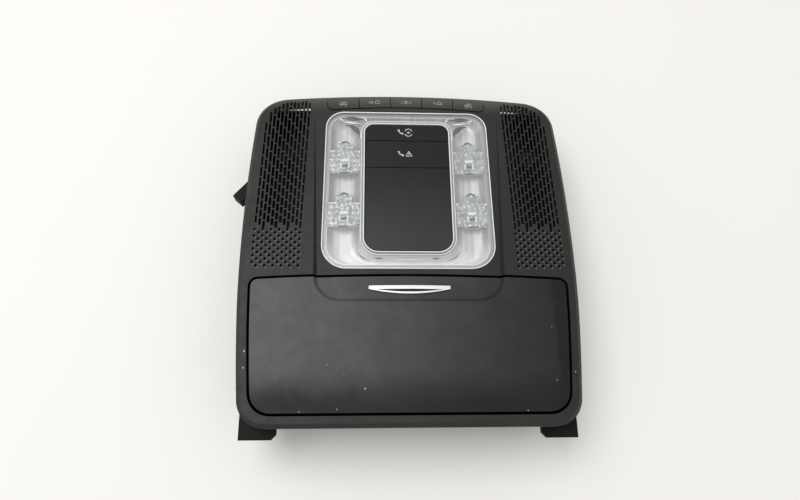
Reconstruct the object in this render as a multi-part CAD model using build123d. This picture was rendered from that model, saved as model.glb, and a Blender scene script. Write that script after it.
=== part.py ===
from build123d import *
import os
from math import atan, cos, degrees, hypot, pi, radians, sin, sqrt, tan

# Overhead console lamp for a car roof: a moulded bezel with slotted grilles, a ring lens over four reading
# optics, a centre panel with two call keys, five lamp buttons and a damped sunglasses bin.
# It lies face up. X runs across, Y towards the windscreen and Z out of the face, in millimetres.
# The origin is on the back of the bin, the flat that the part rests on.

# Face outline
HALF_WIDTH = 104.6
WIDEST_Y = 70.0
SIDE_RADIUS = 1170.0
REAR_EDGE_Y = -48.3
FRONT_EDGE_Y = 176.5
FRONT_EDGE_RADIUS = 700.0
REAR_CORNER_RADIUS = 17.0
FRONT_CORNER_RADIUS = 23.0

# Face section from rear to front: level over the bin, a gentle bend, a slope, and a roll-off at the front
FACE_HEIGHT = 60.0
BEND_REAR_Y = 10.0
BEND_FRONT_Y = 46.0
FACE_SLOPE = 5.0
ROLL_Y = 160.5
ROLL_RADIUS = 50.0
EDGE_BEVEL = 2.4
BEZEL_WALL = 2.2
SKIRT_DEPTH = 13.0
SEAT_GAP = 0.1

# Centre channel, deepest at its rear end and running out to nothing at the front
CHANNEL_DEPTH = 3.4
CHANNEL_REAR_Y = 24.6
CHANNEL_FADE_Y = 165.0
CHANNEL_HALF_AT_DOOR = 58.9
CHANNEL_SPREAD = 0.03
CHANNEL_CORNER_RADIUS = 17.0
CHANNEL_WALL_LEAN = 35.0

# Bin door
DOOR_BORDER = 7.2
DOOR_REAR_Y = -40.9
DOOR_FRONT_Y = 42.1
DOOR_FRONT_SAG = 3.1
DOOR_REAR_CORNER = 13.0
DOOR_FRONT_CORNER = 5.0
DOOR_GAP = 1.6
DOOR_WALL = 2.4
DOOR_RIM_DEPTH = 6.0
DOOR_RIM_WALL = 1.8

# Bin hinge, tray and damper gear
HINGE_INSET = 20.0
HINGE_DEPTH = 8.8
DOOR_SWING = 65.0
PIN_RADIUS = 1.25
PIN_CLEARANCE = 0.05
HUB_RADIUS = 3.2
HUB_SIDE_GAP = 0.6
TRAY_SIDE_ROOM = 24.6
TRAY_WALL = 1.8
TRAY_REAR_DEPTH = 36.0
TRAY_FRONT_DEPTH = 16.0
TRAY_RIM_GAP = 0.4
TRAY_REAR_CLEARANCE = 3.0
TRAY_CORNER_RADIUS = 6.0
RIDGE_HEIGHT = 4.0
RIDGE_THICKNESS = 2.0
RIDGE_HALF_WIDTH = 9.0
STAKE_X = 60.0
STAKE_REAR_Y = -12.0
STAKE_FRONT_Y = 6.0
STAKE_RADIUS = 1.5
STAKE_HEAD_RADIUS = 2.6
STAKE_HEAD = 0.9
STAKE_CLEARANCE = 0.2
LINER_THICKNESS = 1.2
LINER_MARGIN = 2.0
GEAR_MODULE = 1.0
SECTOR_TEETH = 30
PINION_TEETH = 10
PINION_ANGLE = -45.0
SECTOR_WIDTH = 4.0
MESH_GAP = 0.25
SECTOR_SPARE_TEETH = 2
TOOTH_ADDENDUM = 0.8
TOOTH_DEDENDUM = 1.15
TOOTH_TIP_WIDTH = 0.66
TOOTH_ROOT_WIDTH = 1.9
PINION_WIDTH = 3.2
DAMPER_RADIUS = 7.0
DAMPER_WIDTH = 6.5
DAMPER_SIDES = 24
DAMPER_SEAT_RADIUS = 6.0
SPINDLE_RADIUS = 1.2
SPINDLE_CLEARANCE = 0.05

# Pull handle
HANDLE_HALF_WIDTH = 25.0
HANDLE_FRONT_Y = 35.3
HANDLE_REAR_Y = 30.1
HANDLE_BAR = 2.3
HANDLE_LIP = 1.2
HANDLE_TIP_Y = 33.9
HANDLE_TIP = 1.0
HANDLE_SLOT_TIP_Y = 32.7
HANDLE_END = 4.0
HANDLE_PROUD = 1.3
HANDLE_SEAT = 1.2
HANDLE_CLEARANCE = 0.1

# Lens, reflector and reading optics
LENS_HALF_REAR = 55.2
LENS_HALF_FRONT = 54.7
LENS_REAR_Y = 46.2
LENS_FRONT_Y = 160.0
LENS_REAR_CORNER = 16.0
LENS_FRONT_CORNER = 12.5
LENS_GAP = 0.3
LENS_PROUD = 0.3
LENS_THICKNESS = 2.0
LENS_RIM = 1.5
LENS_SKIRT = 7.0
LENS_INNER_RIM = 1.2
REFLECTOR_WALL = 1.5
REFLECTOR_DEPTH = 9.0
REFLECTOR_FIT = 0.4
OPTIC_X = 41.5
OPTIC_REAR_Y = 84.0
OPTIC_FRONT_Y = 122.5
OPTIC_WIDTH = 21.7
OPTIC_LENGTH = 17.5
OPTIC_BROW_WIDTH = 10.5
OPTIC_BROW_LENGTH = 6.5
OPTIC_FOOT = 9.0
OPTIC_GAP = 0.3
OPTIC_TOP_GAP = 1.0

# Centre panel
PANEL_HALF = 28.2
PANEL_REAR_Y = 57.8
PANEL_FRONT_Y = 150.5
PANEL_REAR_CORNER = 9.5
PANEL_FRONT_CORNER = 6.0
PANEL_GAP = 0.5
KEY_LINE_FRONT_Y = 137.5
KEY_LINE_REAR_Y = 117.1
KEY_LINE_GAP = 0.5
KEY_THICKNESS = 2.0
KEY_TRAVEL = 0.6
WINDOW_THICKNESS = 3.0
CARRIER_MARGIN = 1.9
CARRIER_WALL = 1.5

# Lamp buttons
BUTTON_COUNT = 5
BUTTON_PITCH = 21.7
BUTTON_LENGTH = 9.3
BUTTON_MID_Y = 168.6
BUTTON_ARC_RADIUS = 500.0
BUTTON_GAP = 0.5
STRIP_END_ROUND = 3.6
BUTTON_PROUD = 0.5
BUTTON_DEPTH = 5.0
BUTTON_WALL = 1.4
BUTTON_TRAVEL = 0.8
STEM_RADIUS = 1.3
STEM_SETBACK = 3.2
STEM_GAP = 0.1

# Grilles
GRILLE_COLUMNS = 12
GRILLE_INNER_X = 68.2
GRILLE_SIDE_ROOM = 8.3
GRILLE_LEAN = 0.022
GRILLE_REAR_Y = 72.5
SLOT_WIDTH = 1.9
SLOT_EDGE_WIDTH = 1.2
SLOT_REAR_LENGTH = 4.6
SLOT_GROWTH = 0.062
SLOT_BRIDGE = 1.0
SHORTEST_SLOT = 1.4
SLOT_STAGGER = 3
GRILLE_EDGE = 4.5
SLOT_CUT = 20.0

# Rear housing
HOUSING_INSET = 3.2
HOUSING_WALL = 2.0
LAMP_FLOOR_DROP = 40.0
BULKHEAD_Y = 45.4
WING_FRONT_Y = 162.0
PARTITION_GAP = 1.1
PARTITION_WALL = 1.5
TAB_SIDE_INSET = 3.6
TAB_WIDTH = 22.0
TAB_REACH_Y = -54.4
TAB_DROP = 18.5
TAB_THICKNESS = 3.0
TAB_CHAMFER = 3.0
LOCATOR_Y = 76.6
LOCATOR_WIDTH = 5.0
LOCATOR_REACH = 5.0
LOCATOR_DROP = 23.0
LOCATOR_THICKNESS = 3.0
TOWER_X = 40.0
TOWER_WIDTH = 16.0
TOWER_LENGTH = 12.0
TOWER_FRONT_Y = 166.0
CLIP_WIDTH = 10.0
CLIP_THICKNESS = 0.8
CLIP_LOW_Z = 3.0
CLIP_TOP_GAP = 2.0
CLIP_BUMP_SHARE = 0.6
CLIP_SPRING = 3.0

# Screws
BOSS_RADIUS = 2.8
BOSS_GAP = 0.6
BOSS_REAR_Y = 53.0
BOSS_FRONT_Y = 152.0
BOSS_SEAT_DROP = 22.0
COLUMN_RADIUS = 4.2
SCREW_RADIUS = 1.5
SCREW_HEAD_RADIUS = 2.9
SCREW_HEAD_HEIGHT = 2.2
SCREW_GRIP = 4.0
SCREW_LENGTH = 10.5
SCREW_CLEARANCE = 0.2
PILOT_CLEARANCE = 0.05
BOARD_SCREW_X = 45.0
BOARD_SCREW_REAR_Y = 58.0
BOARD_SCREW_FRONT_Y = 148.0
BOARD_SCREW_LENGTH = 7.0
POST_RADIUS = 3.0

# Circuit board and what stands on it
BOARD_DROP = 26.0
BOARD_THICKNESS = 1.6
BOARD_MARGIN = 0.6
SWITCH_SIZE = 6.0
SWITCH_HEIGHT = 3.4
PLUNGER_RADIUS = 1.7
PLUNGER_HEIGHT = 0.3
LED_SIZE = 5.0
LED_HEIGHT = 1.2
LED_GAP = 0.3

# Microphones
MICROPHONE_SIDE_ROOM = 23.1
MICROPHONE_Y = 125.0
MICROPHONE_RADIUS = 6.0
MICROPHONE_HEIGHT = 6.5
MICROPHONE_SIDES = 16

# Catch spring on the bulkhead
CATCH_HALF_WIDTH = 6.0
CATCH_THICKNESS = 0.6
CATCH_DROP = 27.0
CATCH_LENGTH = 15.0
CATCH_BUMP_LENGTH = 7.0
CATCH_GAP = 0.4

# Share of a leaf spring's bulge that is flat on top
SPRING_FLAT = 1 / 3

# Harness connector in its shroud on the left side
CONNECTOR_ANGLE = 49.0
CONNECTOR_WIDTH = 7.0
CONNECTOR_HEIGHT = 9.0
CONNECTOR_LENGTH = 25.0
CONNECTOR_REACH = 9.4
CONNECTOR_TIP_Y = 99.6
CONNECTOR_DROP = 23.0
SHROUD_WALL = 1.0
SHROUD_LENGTH = 6.0
SHROUD_FIT = 0.15

# Sides of the small hidden posts, holes and screws
HIDDEN_SIDES = 8
SCREW_HEAD_SIDES = 6

# Heights and reaches that only have to clear the part
CLEAR = 30.0
ABOVE = FACE_HEIGHT + CLEAR
BELOW = -CLEAR
OVERHANG = 20.0
SPARE = 1.0

# A face counts as a top if its normal rises more steeply than this
TOP_NORMAL = 0.5


def side_x(y):
    """Half-width of the outline at y, on its large side arc."""
    return HALF_WIDTH - SIDE_RADIUS + sqrt(SIDE_RADIUS**2 - (y - WIDEST_Y) ** 2)


def section_z(y):
    """Height of the face: level, then an arc, a straight slope and a tighter arc, each running into the next."""
    slope = radians(FACE_SLOPE)
    bend_radius = (BEND_FRONT_Y - BEND_REAR_Y) / sin(slope)
    if y <= BEND_REAR_Y:
        return FACE_HEIGHT
    if y <= BEND_FRONT_Y:
        return FACE_HEIGHT - bend_radius + sqrt(bend_radius**2 - (y - BEND_REAR_Y) ** 2)
    bend_z = FACE_HEIGHT - bend_radius * (1 - cos(slope))
    if y <= ROLL_Y:
        return bend_z - (y - BEND_FRONT_Y) * tan(slope)
    roll_z = bend_z - (ROLL_Y - BEND_FRONT_Y) * tan(slope) - ROLL_RADIUS * cos(slope)
    return roll_z + sqrt(ROLL_RADIUS**2 - (y - ROLL_Y + ROLL_RADIUS * sin(slope)) ** 2)


def prism(plan, low, high):
    """A plan raised straight up from one height to another."""
    return extrude(Pos(0, 0, low) * plan, amount=high - low)


def lowered(shape, drop):
    return Pos(0, 0, -drop) * shape


def layer(plan, surface, top, bottom):
    """What a plan's prism holds between a surface lowered by top and the same lowered by bottom."""
    return (prism(plan, BELOW, ABOVE) & lowered(surface, top)) - lowered(surface, bottom)


def post(x, y, low, high, radius, sides=HIDDEN_SIDES):
    """An upright post, many-sided instead of round because the posts are small and hidden."""
    return prism(Pos(x, y) * RegularPolygon(radius, sides), low, high)


def block(x0, x1, y0, y1, z0, z1):
    return Pos((x0 + x1) / 2, (y0 + y1) / 2, (z0 + z1) / 2) * Box(x1 - x0, y1 - y0, z1 - z0)


def side_extrude(points, x0, x1):
    """A closed outline of (y, z) points, carried across from x0 to x1."""
    loop = Polyline(*[(x0, y, z) for y, z in points], close=True)
    return extrude(make_face(loop), amount=x1 - x0, dir=(1, 0, 0))


def barrel_plan(rear_y, front_y, sag, inset, rear_corner, front_corner):
    """A plan with a straight rear edge, the face's side arcs moved in, and an arched front edge."""
    middle_y = (rear_y + front_y) / 2
    rear_right = (side_x(rear_y) - inset, rear_y)
    front_right = (side_x(front_y - sag) - inset, front_y - sag)
    side_middle = (side_x(middle_y) - inset, middle_y)
    mirror = [(-x, y) for x, y in (rear_right, side_middle, front_right)]
    edges = [
        Line(mirror[0], rear_right),
        ThreePointArc(rear_right, side_middle, front_right),
        ThreePointArc(front_right, (0, front_y), mirror[2]),
        ThreePointArc(mirror[2], mirror[1], mirror[0]),
    ]
    plan = make_face(edges)
    corners = plan.vertices().sort_by(Axis.Y)
    plan = fillet(corners[:2], rear_corner)
    return fillet(plan.vertices().sort_by(Axis.Y)[-2:], front_corner)


def tapered_plan(rear_y, front_y, half_rear, half_front, rear_corner, front_corner):
    """A four-sided plan, symmetric across, with rounded corners."""
    corners = [(-half_rear, rear_y), (half_rear, rear_y), (half_front, front_y), (-half_front, front_y)]
    plan = make_face(Polyline(*corners, close=True))
    plan = fillet(plan.vertices().sort_by(Axis.Y)[:2], rear_corner)
    return fillet(plan.vertices().sort_by(Axis.Y)[-2:], front_corner)


def outline_plan(inset):
    """The outline of the face, moved in all round."""
    corner_x = side_x(FRONT_EDGE_Y)
    sag = FRONT_EDGE_RADIUS - sqrt(FRONT_EDGE_RADIUS**2 - corner_x**2)
    rear_y, front_y = REAR_EDGE_Y + inset, FRONT_EDGE_Y - inset
    return barrel_plan(rear_y, front_y, sag, inset, REAR_CORNER_RADIUS - inset, FRONT_CORNER_RADIUS - inset)


def door_plan(grow):
    """The middle of the gap round the bin door, grown outwards."""
    plan = barrel_plan(DOOR_REAR_Y, DOOR_FRONT_Y, DOOR_FRONT_SAG, DOOR_BORDER, DOOR_REAR_CORNER, DOOR_FRONT_CORNER)
    return offset(plan, grow)


def lens_plan():
    return tapered_plan(
        LENS_REAR_Y, LENS_FRONT_Y, LENS_HALF_REAR, LENS_HALF_FRONT, LENS_REAR_CORNER, LENS_FRONT_CORNER
    )


def panel_plan():
    return tapered_plan(
        PANEL_REAR_Y, PANEL_FRONT_Y, PANEL_HALF, PANEL_HALF, PANEL_REAR_CORNER, PANEL_FRONT_CORNER
    )


def face_blank():
    """Everything under the face: its section carried across the whole width."""
    ends = [(0, y, section_z(y)) for y in (REAR_EDGE_Y - OVERHANG, BEND_REAR_Y, BEND_FRONT_Y, ROLL_Y)]
    last_y = FRONT_EDGE_Y + OVERHANG
    middles = [(0, y, section_z(y)) for y in ((BEND_REAR_Y + BEND_FRONT_Y) / 2, (ROLL_Y + last_y) / 2)]
    last = (0, last_y, section_z(last_y))
    foot = BELOW - OVERHANG
    edges = [
        Line(ends[0], ends[1]),
        ThreePointArc(ends[1], middles[0], ends[2]),
        Line(ends[2], ends[3]),
        ThreePointArc(ends[3], middles[1], last),
        Polyline(last, (0, last_y, foot), (0, ends[0][1], foot), ends[0]),
    ]
    half = HALF_WIDTH + OVERHANG
    return extrude(Pos(-half, 0, 0) * make_face(edges), amount=2 * half, dir=(1, 0, 0))


def channel_surface():
    """The face tipped about the line where the channel runs out, so that its rear end is deeper."""
    tip = degrees(atan(CHANNEL_DEPTH / (CHANNEL_FADE_Y - CHANNEL_REAR_Y)))
    line = Axis((0, CHANNEL_FADE_Y, section_z(CHANNEL_FADE_Y)), (1, 0, 0))
    return BLANK.rotate(line, tip)


def channel_cut():
    """The channel's space, with side walls that lean outwards."""
    plane_z = section_z(CHANNEL_FADE_Y)
    lean = tan(radians(CHANNEL_WALL_LEAN))
    rear_spread = (section_z(CHANNEL_REAR_Y) - plane_z) * lean
    door_spread = (section_z(DOOR_FRONT_Y) - plane_z) * lean
    front_half = CHANNEL_HALF_AT_DOOR + CHANNEL_SPREAD * (CHANNEL_FADE_Y - DOOR_FRONT_Y)
    rear_y = CHANNEL_REAR_Y + rear_spread
    slope = (front_half - CHANNEL_HALF_AT_DOOR + door_spread) / (CHANNEL_FADE_Y - DOOR_FRONT_Y)
    front_y = FRONT_EDGE_Y + OVERHANG
    half_rear = front_half - slope * (CHANNEL_FADE_Y - rear_y)
    half_front = front_half + slope * (front_y - CHANNEL_FADE_Y)
    corners = [(-half_rear, rear_y), (half_rear, rear_y), (half_front, front_y), (-half_front, front_y)]
    plan = make_face(Polyline(*corners, close=True))
    plan = fillet(plan.vertices().sort_by(Axis.Y)[:2], CHANNEL_CORNER_RADIUS - rear_spread)
    space = extrude(Pos(0, 0, plane_z) * plan, amount=OVERHANG, taper=-CHANNEL_WALL_LEAN)
    return space - CHANNEL


def rounded_body():
    """The whole face as a block, with its rim bevelled and the channel sunk in."""
    body = prism(outline_plan(0), BELOW, ABOVE) & BLANK
    top = body.faces().filter_by(lambda face: face.normal_at().Z > TOP_NORMAL)
    side = body.faces().filter_by(lambda face: abs(face.normal_at().Z) < TOP_NORMAL)
    body = chamfer(top.edges() & side.edges(), EDGE_BEVEL)
    return body - CHANNEL_CUT


def bezel_cavity():
    """The space inside the bezel's wall."""
    space = prism(outline_plan(BEZEL_WALL), BELOW, ABOVE) & lowered(BLANK, BEZEL_WALL)
    return space - lowered(CHANNEL_CUT, BEZEL_WALL)


BLANK = face_blank()
CHANNEL = channel_surface()
CHANNEL_CUT = channel_cut()
BODY = rounded_body()
CAVITY = bezel_cavity()
UNDER_BEZEL = lowered(CAVITY, SEAT_GAP)

# Places that several pieces share
TRAY_HALF_WIDTH = HALF_WIDTH - TRAY_SIDE_ROOM
MICROPHONE_X = HALF_WIDTH - MICROPHONE_SIDE_ROOM
LAMP_FLOOR_Z = FACE_HEIGHT - LAMP_FLOOR_DROP
BOSS_SEAT_Z = FACE_HEIGHT - BOSS_SEAT_DROP
BOARD_TOP_Z = FACE_HEIGHT - BOARD_DROP
CATCH_LOW_Z = FACE_HEIGHT - CATCH_DROP
HINGE_Y = DOOR_REAR_Y + DOOR_GAP / 2 + HINGE_INSET
HINGE_Z = FACE_HEIGHT - HINGE_DEPTH
TRAY_RADIUS = DOOR_FRONT_Y - DOOR_FRONT_SAG - DOOR_GAP / 2 - DOOR_RIM_WALL - TRAY_RIM_GAP - HINGE_Y
RIDGE_RADIUS = TRAY_RADIUS + RIDGE_HEIGHT
HUB_INNER_X = TRAY_HALF_WIDTH + SECTOR_WIDTH + HUB_SIDE_GAP
GEAR_DISTANCE = GEAR_MODULE * (SECTOR_TEETH + PINION_TEETH) / 2 + MESH_GAP
PINION_Y = HINGE_Y + GEAR_DISTANCE * cos(radians(PINION_ANGLE))
PINION_Z = HINGE_Z + GEAR_DISTANCE * sin(radians(PINION_ANGLE))
PARTITION_INNER = LENS_HALF_REAR + PARTITION_GAP
BOSS_X = PARTITION_INNER + PARTITION_WALL + BOSS_GAP + BOSS_RADIUS
BOSSES = [(side * BOSS_X, y) for side in (-1, 1) for y in (BOSS_REAR_Y, BOSS_FRONT_Y)]
BOARD_SCREWS = [(side * BOARD_SCREW_X, y) for side in (-1, 1) for y in (BOARD_SCREW_REAR_Y, BOARD_SCREW_FRONT_Y)]
STAKES = [(side * STAKE_X, y) for side in (-1, 1) for y in (STAKE_REAR_Y, STAKE_FRONT_Y)]
SWITCH_TOP_Z = BOARD_TOP_Z + SWITCH_HEIGHT + PLUNGER_HEIGHT
STRIP_CENTRE_Y = BUTTON_MID_Y - BUTTON_ARC_RADIUS


# Lamp buttons
def strip_point(radius, x):
    turn = x / BUTTON_ARC_RADIUS
    return (radius * sin(turn), STRIP_CENTRE_Y + radius * cos(turn))


def strip_plan(x0, x1, grow):
    """A piece of the arched button strip from x0 to x1, grown outwards and rounded at the strip's own ends."""
    inner = BUTTON_ARC_RADIUS - BUTTON_LENGTH / 2 - grow
    outer = BUTTON_ARC_RADIUS + BUTTON_LENGTH / 2 + grow
    ends = (x0 - grow, (x0 + x1) / 2, x1 + grow)
    low = [strip_point(inner, x) for x in ends]
    high = [strip_point(outer, x) for x in ends]
    edges = [
        ThreePointArc(*low),
        Line(low[2], high[2]),
        ThreePointArc(*reversed(high)),
        Line(high[0], low[0]),
    ]
    plan = make_face(edges)
    by_side = plan.vertices().sort_by(Axis.X)
    last = strip_half() - SPARE
    corners = (by_side[:2] if x0 < -last else []) + (by_side[-2:] if x1 > last else [])
    return fillet(corners, STRIP_END_ROUND + grow) if corners else plan


def strip_half():
    return BUTTON_COUNT * BUTTON_PITCH / 2


def button_place(index):
    """Where a button's stem stands, a little behind the middle of its cap."""
    x, y = strip_point(BUTTON_ARC_RADIUS, (index + 0.5) * BUTTON_PITCH - strip_half())
    return x, y - STEM_SETBACK


def lamp_button(index):
    """A hollow cap that follows the face, with a stem down to its switch."""
    start = index * BUTTON_PITCH - strip_half()
    end = start + BUTTON_PITCH
    cap = layer(strip_plan(start, end, -BUTTON_GAP / 2), BLANK, -BUTTON_PROUD, BUTTON_DEPTH)
    pocket_plan = strip_plan(start, end, -BUTTON_GAP / 2 - BUTTON_WALL)
    cap -= layer(pocket_plan, BLANK, BUTTON_WALL - BUTTON_PROUD, BUTTON_DEPTH + SPARE)
    x, y = button_place(index)
    stem = post(x, y, SWITCH_TOP_Z + BUTTON_TRAVEL + STEM_GAP, ABOVE, STEM_RADIUS)
    return cap + (stem & lowered(BLANK, BUTTON_WALL - BUTTON_PROUD - SEAT_GAP))


# Grilles
def grille_front_y(x):
    """How far a column at x may run to the front, keeping its distance from the edge and the round corner."""
    corner_x = side_x(FRONT_EDGE_Y) - FRONT_CORNER_RADIUS
    edge_y = FRONT_EDGE_Y - FRONT_EDGE_RADIUS + sqrt(FRONT_EDGE_RADIUS**2 - min(x, corner_x) ** 2)
    reach = FRONT_CORNER_RADIUS - GRILLE_EDGE
    beyond = min(max(x - corner_x, 0), reach)
    return edge_y - GRILLE_EDGE - reach + sqrt(reach**2 - beyond**2)


def grille_slots():
    """Slots in staggered, slightly leaning columns on both wings, longer to the front and widest in the middle."""
    pitch = (HALF_WIDTH - GRILLE_SIDE_ROOM - GRILLE_INNER_X) / (GRILLE_COLUMNS - 1)
    slots = []
    for column in range(GRILLE_COLUMNS):
        rear_x = GRILLE_INNER_X + column * pitch
        width = SLOT_EDGE_WIDTH + (SLOT_WIDTH - SLOT_EDGE_WIDTH) * sin(pi * column / (GRILLE_COLUMNS - 1))
        front_x = rear_x - GRILLE_LEAN * (grille_front_y(rear_x) - GRILLE_REAR_Y)
        front = grille_front_y(front_x + width / 2)
        y = GRILLE_REAR_Y + (column % SLOT_STAGGER) * (SLOT_REAR_LENGTH + SLOT_BRIDGE) / SLOT_STAGGER
        while y + SHORTEST_SLOT < front:
            x = rear_x - GRILLE_LEAN * (y - GRILLE_REAR_Y)
            length = SLOT_REAR_LENGTH + SLOT_GROWTH * (y - GRILLE_REAR_Y)
            end = min(y + length, front)
            for side in (-1, 1):
                slots.append(Pos(side * x, (y + end) / 2, section_z(y)) * Box(width, end - y, SLOT_CUT))
            y += length + SLOT_BRIDGE
    return slots


# Bezel
def bezel():
    """The face as a shell with a skirt, its openings, grille slots and four screw bosses."""
    shell = BODY - CAVITY - lowered(BLANK, SKIRT_DEPTH)
    shell -= prism(door_plan(DOOR_GAP / 2), BELOW, ABOVE)
    shell -= prism(offset(lens_plan(), LENS_GAP), BELOW, ABOVE)
    shell -= prism(strip_plan(-strip_half(), strip_half(), BUTTON_GAP / 2), BELOW, ABOVE)
    for x, y in BOSSES:
        shell += post(x, y, BOSS_SEAT_Z, ABOVE, BOSS_RADIUS) & lowered(CAVITY, -SEAT_GAP)
        shell -= post(x, y, BOSS_SEAT_Z - SPARE, screw_end_z() + SPARE / 2, SCREW_RADIUS + PILOT_CLEARANCE)
    return shell - grille_slots()


def screw_end_z():
    return BOSS_SEAT_Z - SCREW_GRIP + SCREW_LENGTH


# Bin door, tray and trim
def handle_plan(grow):
    """The crescent's outer outline: an almost straight front edge and a bowed rear edge that meet in blunt tips."""
    half = HANDLE_HALF_WIDTH + grow
    front, rear = HANDLE_FRONT_Y + grow, HANDLE_REAR_Y - grow
    high, low = HANDLE_TIP_Y + HANDLE_TIP + grow, HANDLE_TIP_Y - HANDLE_TIP - grow
    edges = [
        ThreePointArc((-half, high), (0, front), (half, high)),
        Line((half, high), (half, low)),
        ThreePointArc((half, low), (0, rear), (-half, low)),
        Line((-half, low), (-half, high)),
    ]
    return make_face(edges)


def handle_slot_plan():
    """The finger slot between the thick front bar and the thin rear lip."""
    right = (HANDLE_HALF_WIDTH - HANDLE_END, HANDLE_SLOT_TIP_Y)
    left = (-right[0], HANDLE_SLOT_TIP_Y)
    edges = [
        ThreePointArc(left, (0, HANDLE_FRONT_Y - HANDLE_BAR), right),
        ThreePointArc(right, (0, HANDLE_REAR_Y + HANDLE_LIP), left),
    ]
    return make_face(edges)


def door_panel():
    """The door's crowned skin with a turned-in rim, a pocket for the handle and stakes for the tray."""
    plan = door_plan(-DOOR_GAP / 2)
    door = layer(plan, BODY, 0, DOOR_WALL)
    door += layer(plan - offset(plan, -DOOR_RIM_WALL), BODY, DOOR_WALL / 2, DOOR_RIM_DEPTH)
    door -= prism(handle_plan(HANDLE_CLEARANCE), BELOW, ABOVE) - lowered(BODY, HANDLE_SEAT)
    for side in (-1, 1):
        hub_x = side * (TRAY_HALF_WIDTH + SECTOR_WIDTH)
        door -= across(HUB_RADIUS + HUB_SIDE_GAP, hub_x, side * HALF_WIDTH, HINGE_Y, HINGE_Z)
    head_top = DOOR_WALL + TRAY_WALL + 2 * SEAT_GAP
    for x, y in STAKES:
        door += layer(Pos(x, y) * RegularPolygon(STAKE_RADIUS, HIDDEN_SIDES), BODY, DOOR_WALL / 2, head_top + STAKE_HEAD / 2)
        door += layer(Pos(x, y) * RegularPolygon(STAKE_HEAD_RADIUS, HIDDEN_SIDES), BODY, head_top, head_top + STAKE_HEAD)
    return door


def handle_trim():
    """A bright crescent let into the door, a thick bar and a thin lip with a finger slot between."""
    ring = layer(handle_plan(0), BODY, -HANDLE_PROUD, HANDLE_SEAT - SEAT_GAP / 2)
    return ring - prism(handle_slot_plan(), BELOW, ABOVE)


def reach_drum(radius, half_width):
    """Everything within a radius of the hinge line."""
    drum = Rot(Y=90) * Cylinder(radius, 2 * half_width)
    return Pos(0, HINGE_Y, HINGE_Z) * drum


def tray_plan(inset):
    """The tray's plan: straight sides and rear wall, with a front end that the drum cuts."""
    rear = DOOR_REAR_Y + DOOR_GAP / 2 + DOOR_RIM_WALL + TRAY_REAR_CLEARANCE
    half = TRAY_HALF_WIDTH - inset
    corner = TRAY_CORNER_RADIUS - inset
    return tapered_plan(rear + inset, DOOR_FRONT_Y + OVERHANG, half, half, corner, corner)


def tray_block(inset, top):
    """The tray's outer or inner block under the door, rounded off about the hinge line."""
    body = prism(tray_plan(inset), BELOW, ABOVE) & lowered(BODY, top)
    return body & reach_drum(TRAY_RADIUS - inset, HALF_WIDTH)


def gear_points(teeth, first, last, centre_angle):
    """Corner points of a run of straight-sided teeth about a centre, as (y, z)."""
    pitch_radius = GEAR_MODULE * teeth / 2
    tip = pitch_radius + TOOTH_ADDENDUM * GEAR_MODULE
    root = pitch_radius - TOOTH_DEDENDUM * GEAR_MODULE
    half_tip = TOOTH_TIP_WIDTH * GEAR_MODULE / 2 / tip
    half_root = TOOTH_ROOT_WIDTH * GEAR_MODULE / 2 / root
    corners = [(root, -half_root), (tip, -half_tip), (tip, half_tip), (root, half_root)]
    points = []
    for tooth in range(first, last):
        angle = radians(centre_angle) + 2 * pi * tooth / teeth
        points += [(radius * cos(angle + turn), radius * sin(angle + turn)) for radius, turn in corners]
    return points


def sector_plate():
    """The gear sector on the tray's right side, with the hinge line at its centre."""
    tooth_turn = 360 / SECTOR_TEETH
    first = -int(DOOR_SWING / tooth_turn) - SECTOR_SPARE_TEETH
    rim = gear_points(SECTOR_TEETH, first, SECTOR_SPARE_TEETH, PINION_ANGLE + tooth_turn / 2)
    outline = [(HINGE_Y + y, HINGE_Z + z) for y, z in [(0, 0)] + rim]
    return side_extrude(outline, TRAY_HALF_WIDTH - TRAY_WALL, TRAY_HALF_WIDTH + SECTOR_WIDTH)


def across(radius, x0, x1, y, z):
    """A round bar along X."""
    return Pos((x0 + x1) / 2, y, z) * (Rot(Y=90) * Cylinder(radius, abs(x1 - x0)))


def glasses_tray():
    """A bin staked to the door, with a slanting mouth at the back, a catch ridge, hinge hubs and a gear sector."""
    tray = tray_block(0, DOOR_WALL + SEAT_GAP)
    tray -= tray_block(TRAY_WALL, DOOR_WALL + SEAT_GAP + TRAY_WALL)
    front = HINGE_Y + TRAY_RADIUS
    mouth = [(DOOR_REAR_Y, HINGE_Z - TRAY_REAR_DEPTH), (front, HINGE_Z - TRAY_FRONT_DEPTH)]
    tray -= side_extrude(mouth + [(front, BELOW), (DOOR_REAR_Y, BELOW)], -HALF_WIDTH, HALF_WIDTH)
    ridge = reach_drum(RIDGE_RADIUS, RIDGE_HALF_WIDTH) - reach_drum(TRAY_RADIUS - TRAY_WALL / 2, HALF_WIDTH)
    ridge_z = CATCH_LOW_Z + CATCH_LENGTH / 2
    tray += ridge & block(-HALF_WIDTH, HALF_WIDTH, HINGE_Y, FRONT_EDGE_Y, ridge_z, ridge_z + RIDGE_THICKNESS)
    tray += sector_plate()
    for side in (-1, 1):
        inner, outer = side * (TRAY_HALF_WIDTH - TRAY_WALL), side * (TRAY_HALF_WIDTH + SECTOR_WIDTH)
        tray += across(HUB_RADIUS, inner, outer, HINGE_Y, HINGE_Z)
    tray -= across(PIN_RADIUS + PIN_CLEARANCE, -HALF_WIDTH, HALF_WIDTH, HINGE_Y, HINGE_Z)
    for x, y in STAKES:
        tray -= post(x, y, BELOW, ABOVE, STAKE_RADIUS + STAKE_CLEARANCE)
    return tray


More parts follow.
